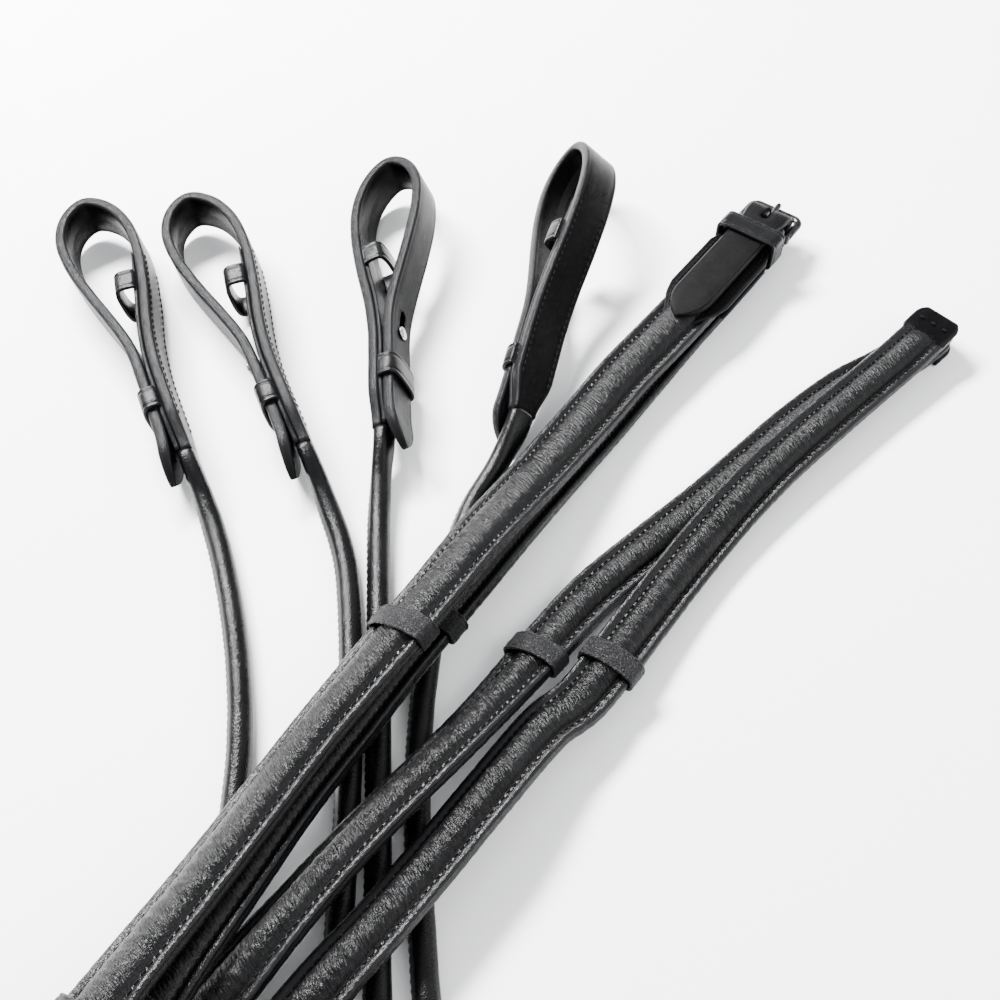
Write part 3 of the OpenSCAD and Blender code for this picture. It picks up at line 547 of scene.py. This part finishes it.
def make_rolled(half):
    line, w = LINES[half], grip_size(half)[0]
    seed = HALVES.index(half) * 10 + 5
    v = np.linspace(line.grip, line.length, int((line.length - line.grip) / 0.8))
    place, _, left, up = line.at(v)
    a = 2 * math.pi * np.arange(28) / 28 - math.pi / 2
    into = np.clip((v - line.grip) / 34, 0, 1)[:, None]
    into = into * into * (3 - 2 * into)
    out = np.clip((line.length - v) / 30, 0, 1)[:, None]
    out = 1 - out * out * (3 - 2 * out)
    half_w = (w / 2 - 3.3) * (1 - into) + ROLLED_R * into
    half_h = 2.5 * (1 - into) + ROLLED_R * into
    half_w = half_w * (1 - out) + 2.9 * out
    half_h = half_h * (1 - out) + 4.4 * out
    power = 1 - 0.25 * (1 - into) - 0.3 * out
    cos, sin = np.cos(a), np.sin(a)
    x = half_w * np.sign(cos) * np.abs(cos) ** power
    y = half_h * np.sign(sin) * np.abs(sin) ** power
    # The sewn lip runs down the left side, where the leather's two edges meet
    lip = np.exp(-(a / 0.22) ** 2)
    bump = lip * into * (1 - out) * (0.34 + 0.13 * np.cos(2 * math.pi * v / 2.5)[:, None])
    groove = np.exp(-((np.abs(a) - 0.45) / 0.13) ** 2) * into * (1 - out) * 0.16
    swell = 1 + 0.012 * wobble(v[:, None] + a * 2, seed, low=0.02, high=0.12) - groove / ROLLED_R
    rings = place[:, None] + (x * swell + bump)[..., None] * left[:, None]
    rings = rings + (y * swell)[..., None] * up[:, None]
    around = (a + math.pi / 2) * ROLLED_R
    obj = swept(half + "_rolled", rings, v, around, np.clip(lip, 0, 1) * 0.8, ROLLED)
    finish_piece(obj, replaces=(half + "_rolled_strap",))


# ---- Bands: hand stops and keepers ----
def band_loop(length, outer, crease_at):
    """Along, outward and edge wear of the points round a band's cut section."""
    r, crease = 0.35, 0.16
    h = length / 2
    rows = [(-h + r, outer, 1.0), (-h + crease_at - 0.25, outer + 0.02, 0.2),
            (-h + crease_at, outer - crease, 0.0), (-h + crease_at + 0.25, outer, 0.3),
            (-h * 0.35, outer + 0.04, 0)]
    rows = rows + [(0, outer + 0.05, 0)] + [(-x, y, e) for x, y, e in rows[::-1]]
    ends = [(h - r * 0.3, outer - r * 0.3, 1.0), (h, outer - r, 0.8), (h, r, 0.4), (h - r, 0, 0)]
    return np.array(rows + ends + [(-x, y, e) for x, y, e in ends[::-1]])


def arc(x, y, r, degrees):
    """Points on a circle at the given angles."""
    return [(x + r * math.cos(t), y + r * math.sin(t)) for t in np.radians(degrees)]


def outline_normals(outline):
    step = np.roll(outline, -1, axis=0) - np.roll(outline, 1, axis=0)
    return unit(np.stack([step[:, 1], -step[:, 0]], axis=-1))


def dense_outline(corners, steps):
    """A smooth closed outline through given corners."""
    p = np.array(corners, float)
    return catmull(np.vstack([p[-1], p, p[0], p[1]]), steps)[:-1]


def make_band(name, outline, carry, length, thick, material, replaces, seed, crease_at, roughness=0.0,
              shares=None, mirrored=False):
    """A leather band round an outline. carry turns along, across and up into the shared frame.

    shares scales the thickness at each point of the outline."""
    loop = band_loop(length, thick, crease_at)
    normal = outline_normals(outline)
    count = len(outline)
    position = perimeter(np.vstack([outline, outline[:1]]))[:-1]
    offsets = np.broadcast_to(loop[None, :, 1], (count, len(loop))).copy()
    if roughness:
        rough = wobble(position[:, None] + loop[None, :, 0] * 1.7, seed, low=0.05, high=0.35)
        offsets += roughness * rough * (loop[None, :, 1] > thick * 0.6)
    if shares is not None:
        offsets *= shares[:, None]
    flat = outline[:, None] + normal[:, None] * offsets[..., None]
    local = np.concatenate([np.broadcast_to(loop[None, :, :1], (count, len(loop), 1)), flat], axis=-1)
    verts = carry(local.reshape(-1, 3))
    faces = grid_faces(count, len(loop), wrap_rows=True, flip=not mirrored).tolist()
    strap = np.stack([np.broadcast_to(position[:, None], (count, len(loop))) + loop[None, :, 1],
                      np.broadcast_to(loop[None, :, 0] + seed * 13, (count, len(loop))),
                      np.zeros((count, len(loop)))], axis=-1).reshape(-1, 3)
    edge = np.broadcast_to(loop[None, :, 2], (count, len(loop))).ravel()
    obj = add_mesh(name, verts, faces, material, strap=strap, edge=edge)
    return finish_piece(obj, replaces=replaces)


def make_stop(half, number):
    line, (w, t) = LINES[half], grip_size(half)
    distance = STOPS[half][number - 1]
    gap = 0.28
    x, low, flange, crown = w / 2 + gap, -t / 2 - gap, 0.9, t / 2 + gap
    corners = [(0, low), (x * 0.5, low), (x - 0.9, low), (x - 0.12, low + 0.8), (x, (low + flange) / 2),
               (x - 0.25, flange - 0.2), (x * 0.8, flange + 0.75), (x * 0.55, crown - 0.55),
               (x * 0.28, crown - 0.08)]
    corners = corners + [(0, crown)] + [(-a, b) for a, b in corners[:0:-1]]

    def carry(local):
        place, _, left, up = line.at(distance + local[:, 0])
        return place + local[:, 1:2] * left + local[:, 2:3] * up

    name = f"{half}_stop_{number}"
    make_band(name + "_band", dense_outline(corners, 6), carry, 7.2, 1.1, SUEDE, (name,),
              roughness=0.13, seed=HALVES.index(half) * 4 + number, crease_at=0.9)


for each in HALVES:
    make_grip(each)
    make_rolled(each)
    for stop_number in (1, 2, 3, 4):
        make_stop(each, stop_number)

# ---- Billets ----
# Side view of a billet's strap in its own frame: up the rein arm, round the loop and down the tail
STRAP_LINE = (
    (0, -0.9), (22, -0.9), (40, -1.2), (56, -2.9), (74, -6.3), (92, -8.7), (108, -8.5), (121, -4.3),
    (128.5, 3.7), (124, 11.9), (113, 16.3), (98, 15.9), (82, 12.7), (67, 8.9), (54, 5.9), (44, 4.8),
    (30, 4.75), (14, 4.75), (3, 5.3), (-9, 7.4),
)
BILLET_W, BILLET_T = 15, 3.8
LINE_STEPS = 10


class Side:
    """A smooth line in the side view of a bent strap. offset moves off to its left."""

    def __init__(self, points, steps):
        p = np.array(points, float)
        self.points = catmull(np.vstack([2 * p[0] - p[1], p, 2 * p[-1] - p[-2]]), steps)
        self.way = unit(np.gradient(self.points, axis=0))
        steps_along = np.linalg.norm(np.diff(self.points, axis=0), axis=1)
        self.run = np.concatenate([[0], np.cumsum(steps_along)])
        self.length = self.run[-1]

    def at(self, run):
        spot, way = (np.stack([np.interp(run, self.run, v[:, i]) for i in (0, 1)], axis=-1)
                     for v in (self.points, self.way))
        way = unit(way)
        return spot, way, np.stack([-way[:, 1], way[:, 0]], axis=-1)


class Upright:
    """Turns a side view and a position across it into a place's own frame. across is 1 (y) or 2 (z)."""

    def __init__(self, carry, across):
        self.carry, self.across = carry, across
        self.flip = (across == 2) != carry.mirrored

    def local(self, side, across):
        a, b, c = side[..., 0], side[..., 1], np.broadcast_to(across, side[..., 0].shape)
        return np.stack([a, b, c] if self.across == 2 else [a, c, b], axis=-1)

    def __call__(self, side, across):
        points = self.local(side, across)
        return self.carry(points.reshape(-1, 3)).reshape(points.shape)

    def turn(self, side):
        return self.local(side, 0) @ self.carry.turn.T


def strap_section(w, t, crease_in=1.5, crease=0.13):
    """Across, height and wear of the points round a flat strap with rounded, creased edges."""
    e, h = w / 2, t / 2
    r = min(0.7, 0.3 * t)
    top = [(0, h, 0), (e * 0.4, h, 0), (e - crease_in - 0.5, h, 0.05), (e - crease_in, h - crease, 0),
           (e - crease_in + 0.45, h + 0.02, 0.35), (e - r, h - 0.04, 0.75), (e - r * 0.35, h - r * 0.35, 1.0),
           (e, h - r, 0.9), (e + 0.03, 0.2, 0.7)]
    right = top + [(x, -y, w_) for x, y, w_ in top[::-1]]
    return np.array(right + [(-x, y, w_) for x, y, w_ in right[::-1]][1:-1])[::-1]


def bent_strap(name, side, upright, w, t, material, run=None, widths=None, thick=None, offset=0.0, seed=0,
               section=None):
    """A strap bent along its side view. widths and thick are the section's shares at each ring."""
    run = side.run if run is None else run
    spot, _, left = side.at(run)
    across, height, edge = (strap_section(w, t) if section is None else section).T
    widths = np.ones(len(run)) if widths is None else widths
    thick = np.ones(len(run)) if thick is None else thick
    uneven = 0.035 * wobble(run[:, None] + across[None], seed, low=0.02, high=0.12)
    h = height[None] * thick[:, None] + offset + uneven
    flat = spot[:, None] + left[:, None] * h[..., None]
    rings = upright(flat, across[None] * widths[:, None])
    around = perimeter(np.stack([across, height], axis=-1))
    return swept(name, rings, run + seed * 17.0, around, edge, material, flip=upright.flip)


def pointed(run, length, tip, w):
    """Shares of a strap's width towards its pointed end, which is tip long."""
    radius = (w * w / 4 + tip * tip) / w
    d = np.clip(tip - (length - run), 0, tip)
    half = np.sqrt(np.clip(radius ** 2 - d ** 2, 0, None)) - (radius - w / 2)
    return np.clip(half / (w / 2), 0.05, 1)


def near_end(length, gap, fine=0.5, coarse=1.6):
    """Distances along a strap, closer together over its last gap."""
    head = np.linspace(0, length - gap, int((length - gap) / coarse))
    return np.concatenate([head[:-1], length - gap * np.linspace(1, 0, int(gap / fine)) ** 1.5])


def cut_slot(obj, carry, centre, long, broad, deep, upright_axis):
    """Cuts a round-ended slot through a strap, along the local x and through the given axis."""
    ring = arc((long - broad) / 2, 0, broad / 2, np.linspace(-90, 90, 9))
    ring += [(-x, -y) for x, y in ring]
    n, other = len(ring), 3 - upright_axis
    local = np.zeros((2 * n, 3))
    for i, s in enumerate((-1, 1)):
        for j, (x, y) in enumerate(ring):
            local[i * n + j, 0], local[i * n + j, other], local[i * n + j, upright_axis] = x, y, s * deep / 2
    local += np.array(centre)
    faces = skin_faces(2, n, (upright_axis == 1) != carry.mirrored)
    cutter = add_mesh(obj.name + "_cutter", carry(local), faces, obj.data.materials[0], smooth=False)
    modifier = obj.modifiers.new("slot", "BOOLEAN")
    modifier.operation, modifier.solver, modifier.object = "DIFFERENCE", "EXACT", cutter
    graph = bpy.context.evaluated_depsgraph_get()
    cut = bpy.data.meshes.new_from_object(obj.evaluated_get(graph), depsgraph=graph)
    obj.modifiers.clear()
    obj.data = cut
    bpy.data.objects.remove(cutter, do_unlink=True)


def bent_stitches(name, side, upright, start, end, pitch, offset, across, length, width):
    """A row of stitches on a bent strap, offset off its middle line; across may vary along it."""
    at = np.arange(start + pitch / 2, end, pitch)
    spot, way, left = side.at(at)
    left = left * math.copysign(1, offset)
    places = upright(spot + left * abs(offset), across if np.ndim(across) == 0 else across[:len(at)])
    along, out = upright.turn(way), upright.turn(left)
    row = stitch_mesh(name, places, along, np.cross(out, along), out, length, width)
    return finish_piece(row)


def rounded_outline(from_a, to_a, from_b, to_b, r):
    """A rounded rectangle's outline, counterclockwise, with points no more than gap apart."""
    gap = 0.8
    corners = ((to_a - r, from_b + r, -90), (to_a - r, to_b - r, 0), (from_a + r, to_b - r, 90),
               (from_a + r, from_b + r, 180))
    p = np.array([q for x, y, start in corners for q in arc(x, y, r, start + np.linspace(0, 90, 5))])
    out = []
    for start, stop in zip(p, np.roll(p, -1, axis=0)):
        n = max(1, int(math.ceil(np.linalg.norm(stop - start) / gap)))
        out += [start + (stop - start) * k / n for k in range(n)]
    return np.array(out)


def lathe(name, carry, axis, spot, profile, material):
    """A turned piece: profile lists radius and place along the local axis."""
    sides = 32
    a = 2 * math.pi * np.arange(sides) / sides
    one, two = [(1, 2), (2, 0), (0, 1)][axis]
    rings = np.zeros((len(profile), sides, 3))
    for i, (r, z) in enumerate(profile):
        rings[i, :, one], rings[i, :, two], rings[i, :, axis] = r * np.cos(a), r * np.sin(a), z
    verts = carry((rings + np.array(spot)).reshape(-1, 3))
    return add_mesh(name, verts, skin_faces(len(profile), sides, carry.mirrored), material)


def keeper_outline(back, depth):
    """The inside of a keeper: flat at the back, with a round bulging front."""
    half_width = 7.62
    front = back + depth
    corners = [(back, -half_width + 1.6), (back, 0), (back, half_width - 1.6), (back + 0.4, half_width - 0.3),
               (back + 1.5, half_width), (front - 1.7, half_width + 0.05), (front - 0.45, half_width - 0.6),
               (front + 0.1, half_width - 2.4), (front + 0.35, half_width * 0.35)]
    corners += [(x, -y) for x, y in corners[::-1] if y > half_width * 0.3][:6]
    return dense_outline(corners, 5)[::-1]


def make_keeper(half, which, x, y, tilt, depth, seed):
    """A band sewn on the arm's inner face, round the tail."""
    carry = billet_place(half)
    name = f"{half}_{which}_keeper"
    back = 0.9
    outline = keeper_outline(back, depth)
    turn = turned(2, tilt)

    def keep(local):
        return carry(np.array([x, y, 0]) + local @ turn.T)

    shares = np.where(outline[:, 0] < back + 0.3, 0.9 / 1.4, 1.0)
    make_band(name + "_band", outline, keep, 9.0, 1.4, KEEPER, (name,), seed=seed,
              crease_at=1.3, shares=shares, mirrored=carry.mirrored)


def make_billet(half):
    carry = billet_place(half)
    upright = Upright(carry, 2)
    side = Side(STRAP_LINE, LINE_STEPS)
    seed = 40 + HALVES.index(half) * 7
    run = near_end(side.length, 14)
    into = np.clip(run / 17, 0, 1)
    into = into * into * (3 - 2 * into)
    widths = pointed(run, side.length, 13, BILLET_W) * (0.58 + 0.42 * into)
    from_tip = np.clip((side.length - run) / 9, 0, 1)
    thick = (0.42 + 0.58 * np.sqrt(from_tip)) * (1 - 0.12 * (1 - into))
    strap = bent_strap(half + "_billet", side, upright, BILLET_W, BILLET_T, STRAP, run, widths, thick,
                       seed=seed)
    cut_slot(strap, carry, (45.75, 5.6, 0), 12.5, 3.5, 6.5, 1)
    finish_piece(strap, replaces=(half + "_billet_strap",))
    # The liner is sewn on the arm's inner face and thins out near the top
    top = side.run[5 * LINE_STEPS]
    full = side.run[int(4.25 * LINE_STEPS)]
    liner_run = np.concatenate([np.linspace(1.0, full, 50)[:-1], np.linspace(full, top, 14)])
    thin = 1 - 0.6 * np.clip((liner_run - full) / (top - full), 0, 1)
    grown = np.clip(liner_run / 17, 0, 1)
    liner_widths = 0.56 + 0.42 * grown * grown * (3 - 2 * grown)
    section = strap_section(BILLET_W, 1.6, crease_in=1.1, crease=0.08)
    section[:, 1] += 0.8
    liner = bent_strap(half + "_liner", side, upright, BILLET_W - 0.5, 1.6, STRAP, liner_run,
                       liner_widths, thin, offset=1.95, seed=seed + 1, section=section)
    finish_piece(liner, replaces=(half + "_billet_liner",))
    for sign, word in ((1, "left"), (-1, "right")):
        bent_stitches(f"{half}_billet_{word}_stitching", side, upright, 13, top - 2, 2.9, -1.93,
                      sign * 5.6, 2.0, 0.5)
    make_keeper(half, "lower", 22.5, -0.9 + 2.02, 0.0, 4.75, seed + 2)
    spot, way, left = side.at(np.array([full]))
    stand = spot[0] + left[0] * 2.02
    tilt = math.degrees(math.atan2(way[0, 1], way[0, 0]))
    make_keeper(half, "upper", stand[0], stand[1], tilt, 6.0, seed + 3)
    profile = ((0.4, 2.3), (1.9, 2.35), (1.35, 2.9), (1.2, 3.4), (1.2, 6.3), (1.5, 6.75), (2.35, 6.85),
               (2.52, 7.1), (2.45, 7.35), (2.1, 7.65), (1.4, 7.88), (0.5, 7.98))
    stud = lathe(half + "_stud", carry, 1, (42, 0, 0), profile, BRIGHT_STEEL)
    finish_piece(stud, replaces=(half + "_hook_stud",))


# ---- Centre buckle of the wide rein ----
def tube(name, path, radii, squash=1.0):
    """A round bar along a path in the buckle's frame. squash flattens it in z."""
    p, sides = np.array(path, float), 18
    way = unit(np.gradient(p, axis=0))
    side = unit(np.cross([0, 0, 1], way))
    rise = np.cross(way, side)
    a = 2 * math.pi * np.arange(sides) / sides
    r = np.broadcast_to(radii, (len(p),))[:, None, None]
    ring = side[:, None] * np.cos(a)[None, :, None] + rise[:, None] * np.sin(a)[None, :, None] * squash
    verts = BUCKLE((p[:, None] + ring * r).reshape(-1, 3))
    return add_mesh(name, verts, skin_faces(len(p), sides), DARK_STEEL)


def make_buckle_frame():
    path = [(0, -10), (4, -10), (8, -10)]
    path += arc(9.5, -7, 3, range(-90, 1, 15))
    path += [(12.5, -4.6), (12.5, -2.3), (12.5, 0), (12.5, 2.3), (12.5, 4.6)]
    path += arc(9.5, 7, 3, range(0, 91, 15))
    path += [(8, 10), (4, 10), (0, 10)]
    frame_bow = tube("buckle_bow", [(x, y, 0) for x, y in path], 1.5, squash=0.87)
    finish_piece(frame_bow, body="buckle_frame", replaces=("buckle_frame",))
    ends = ((0.9, -11.5), (1.4, -11.2), (1.5, -10.7))
    profile = ends + ((1.5, 0.0),) + tuple((r, -y) for r, y in ends[::-1])
    bar = lathe("buckle_bar", BUCKLE, 1, (0, 0, 0), profile, DARK_STEEL)
    finish_piece(bar, body="buckle_frame")


def make_tongue():
    lift = math.asin((1.5 + 1.2 + 0.2) / 12.5)
    path = [(x * math.cos(lift), 0, x * math.sin(lift)) for x in np.linspace(1.7, 13.9, 24)]
    radii = np.interp(np.linspace(0, 1, 24), (0, 0.55, 0.9, 0.97, 1), (1.2, 1.15, 1.05, 0.85, 0.35))
    shank = tube("tongue_shank", path, radii)
    finish_piece(shank, body="buckle_tongue", replaces=("buckle_tongue",))
    a = np.radians(np.arange(0, 360, 7.5))
    loop = ((1.56, -1.1), (1.75, -1.3), (2.5, -1.3), (2.75, -1.05))
    loop += tuple((r, -y) for r, y in loop[::-1])
    local = np.array([[(r * math.cos(t), y, r * math.sin(t)) for r, y in loop] for t in a])
    eye = add_mesh("tongue_eye", BUCKLE(local.reshape(-1, 3)),
                   grid_faces(len(a), len(loop), wrap_rows=True, flip=True), DARK_STEEL)
    finish_piece(eye, body="buckle_tongue")


def shares_along(x, table):
    return np.interp(x, *zip(*table))


def make_chape():
    """The folded strap that holds the buckle: one leg on top, round the bar, and one below."""
    upright = Upright(BUCKLE, 1)
    line = [(-70.8, 1.95), (-55, 1.95), (-40, 1.95), (-25, 1.95), (-9, 1.95), (-4.5, 2.1), (-1.6, 2.35)]
    line += arc(0, 0, 2.45, (60, 30, 0, -30, -60))
    line += [(-1.6, -2.35), (-4.5, -2.1), (-9, -1.95), (-25, -1.95), (-48, -1.95)]
    side = Side(line, 8)
    spot = side.at(side.run)[0]
    x = spot[:, 0]
    half = shares_along(x, ((-70.8, 0.8), (-69.5, 1.9), (-52, 10.4), (-46, 11.9), (-18, 11.9), (-15, 10.6),
                            (-4.5, 10.6), (-2.3, 8.2), (5, 8.2)))
    upper = spot[:, 1] > 0
    thick = np.where(upper, np.clip(0.55 + (x + 70.8) / 12, 0.55, 1), np.clip(0.5 + (x + 48) / 8, 0.5, 1))
    strap = bent_strap("chape", side, upright, 23.8, 1.8, STRAP, None, half / 11.9, thick, seed=71,
                       section=strap_section(23.8, 1.8, crease_in=1.3, crease=0.12))
    cut_slot(strap, BUCKLE, (1.4, 0, 0), 10.0, 3.8, 12, 2)
    finish_piece(strap, replaces=("buckle_chape",))
    for sign, word in ((1, "left"), (-1, "right")):
        at = np.arange(24, side.run[np.argmax(x > -16)] - 1.1, 2.2)
        across = sign * (np.interp(at, side.run, half) - 2.4)
        bent_stitches(f"chape_{word}_stitching", side, upright, 22.9, at[-1] + 0.5, 2.2, 1.0,
                      across, 1.6, 0.6)
        tip = np.arange(4.5, 19, 2.2)
        stitches = shares_along(-70.8 + tip, ((-70.8, 0), (-52, 10.4))) - 2.0
        bent_stitches(f"chape_{word}_point_stitching", side, upright, 3.4, 19, 2.2, 1.0,
                      sign * stitches, 1.5, 0.6)


def make_tab():
    """The billet tab: out below, round inside the frame, and back on top to its point."""
    upright = Upright(BUCKLE, 1)
    line = [(-16.8, -7.8), (-8, -7.8), (0, -7.8)]
    line += [(8.4 * math.cos(t) ** 0.5, -1.4 + 6.4 * math.sin(t))
             for t in np.radians((-75, -50, -25, 0, 25, 50, 72))]
    line += [(x, 5) for x in (0, -10, -25, -40, -54, -63.5)]
    side = Side(line, 6)
    run = near_end(side.length, 15, fine=0.6, coarse=1.4)
    from_tip = np.clip((side.length - run) / 8, 0, 1)
    # It is broadest in its fold, where it fills the frame
    fill = 1 + 0.1 * np.clip((side.at(run)[0][:, 0] + 3) / 4, 0, 1)
    tab = bent_strap("tab", side, upright, 15, 3, MATT, run, pointed(run, side.length, 14, 15) * fill,
                     0.5 + 0.5 * np.sqrt(from_tip), seed=81,
                     section=strap_section(15, 3, crease_in=1.1, crease=0.1))
    cut_slot(tab, BUCKLE, (5.6, 0, 4.8), 14, 3.1, 12, 2)
    finish_piece(tab, replaces=("buckle_tab",))


def make_centre_keeper():
    outline = rounded_outline(-10.7, 10.7, -3.05, 6.6, 1.1)

    def keep(local):
        return BUCKLE(local + np.array([-10, 0, 0]))

    make_band("centre_keeper_band", outline, keep, 8.6, 1.4, KEEPER, ("centre_keeper",),
              seed=91, crease_at=1.25)


def make_cap():
    """The sewn fold that joins the two halves of the narrow rein."""
    upright = Upright(CAP, 1)
    middle, half_w, round_r = 5.75, 8.4, 6.0
    fold = [(-2.2 + 3.4 * math.cos(t) ** 0.5, middle + 4.9 * math.sin(t))
            for t in np.radians((-86, -70, -45, -22, 0, 22, 45, 70, 86))]
    line = [(-12, 0.8), (-7, 0.8)] + fold + [(-7, 10.35), (-11, 9.85), (-13.5, 9.3)]
    side = Side(line, 6)
    run = np.linspace(0, side.length, 90)
    spot = side.at(run)[0]
    thick = np.clip(0.3 + np.minimum(run, side.length - run) / 3.5, 0.3, 1)
    past = np.clip(spot[:, 0] - 1.2 + round_r, 0, round_r)
    widths = (half_w - round_r + np.sqrt(round_r ** 2 - past ** 2)) / half_w
    back = np.clip((spot[:, 0] + 13.5) / 2.2, 0, 1)
    widths = widths * np.where(spot[:, 1] > middle, 0.82 + 0.18 * np.sqrt(back), 1)
    section = strap_section(2 * half_w, 1.6, crease_in=1.3, crease=0.1)
    cap = bent_strap("cap", side, upright, 2 * half_w, 1.6, STRAP, run, widths, thick, seed=95,
                     section=section)
    finish_piece(cap, replaces=("narrow_centre_cap",))
    at = side.run[np.argmin(np.abs(side.points[:, 0] + 6.5) + (side.points[:, 1] < middle) * 99)]
    where, way, left = side.at(np.array([at]))
    out = upright.turn(-left)[0]
    spots = upright(np.repeat(where - left * 0.84, 3, axis=0), np.array([-4.6, 0, 4.6]))
    along, beside = np.tile(CAP.turn[:, 1], (3, 1)), np.tile(upright.turn(way)[0], (3, 1))
    row = stitch_mesh("cap_stitches", spots, along, beside, np.tile(out, (3, 1)), 2.2, 0.9)
    finish_piece(row)
    rim = np.arange(-2.2, 2.3, 2.2)
    where, way, left = side.at(np.full(len(rim), side.run[np.argmax(side.points[:, 0])] + 2.6))
    spots = upright(where - left * 0.8, rim)
    row = stitch_mesh("cap_rim_stitches", spots, np.tile(CAP.turn[:, 1], (len(rim), 1)), upright.turn(way),
                      upright.turn(-left), 1.5, 0.6)
    finish_piece(row)


for each in HALVES:
    make_billet(each)
make_buckle_frame()
make_tongue()
make_chape()
make_tab()
make_centre_keeper()
make_cap()


# ---- Floor and light ----
def make_floor():
    n = Nodes("pale_floor")
    spot = n.add("TexCoord").outputs["Object"]
    tone = n.noise(n.scaled(spot, (6, 6, 6)), 4, 0.6)
    n.link(n.mix_colour(n.ramp(tone, 0.3, 0.7), (0.93, 0.93, 0.93), (0.95, 0.95, 0.95)),
           n.shader.inputs["Base Color"])
    n.shader.inputs["Roughness"].default_value = 0.9
    size = 6000
    floor = add_mesh("floor", [(-size, -size, -0.05), (size, -size, -0.05), (size, size, -0.05),
                               (-size, size, -0.05)], [(0, 1, 2, 3)], n.material)


def add_area(name, power, size, spot, target):
    data = bpy.data.lights.new(name, "AREA")
    data.energy, data.shape = power, "RECTANGLE"
    data.size, data.size_y = size
    light = bpy.data.objects.new(name, data)
    light.location = spot
    way = np.array(target) - np.array(spot)
    flat = math.hypot(way[0], way[1])
    light.rotation_euler = (math.atan2(flat, -way[2]), 0, math.atan2(way[1], way[0]) - math.pi / 2)
    bpy.context.scene.collection.objects.link(light)


def make_light():
    world = bpy.data.worlds.new("soft_studio")
    bpy.context.scene.world = world
    world.use_nodes = True
    back = world.node_tree.nodes["Background"]
    back.inputs["Color"].default_value = (0.96, 0.98, 1.0, 1)
    back.inputs["Strength"].default_value = 1.5
    add_area("key", 125, (0.7, 0.2), (-0.55, 0.85, 0.8), (0, 0.1, 0))
    add_area("fill", 14, (1.2, 0.6), (0.9, -0.2, 0.9), (0, 0.1, 0))


make_floor()
make_light()
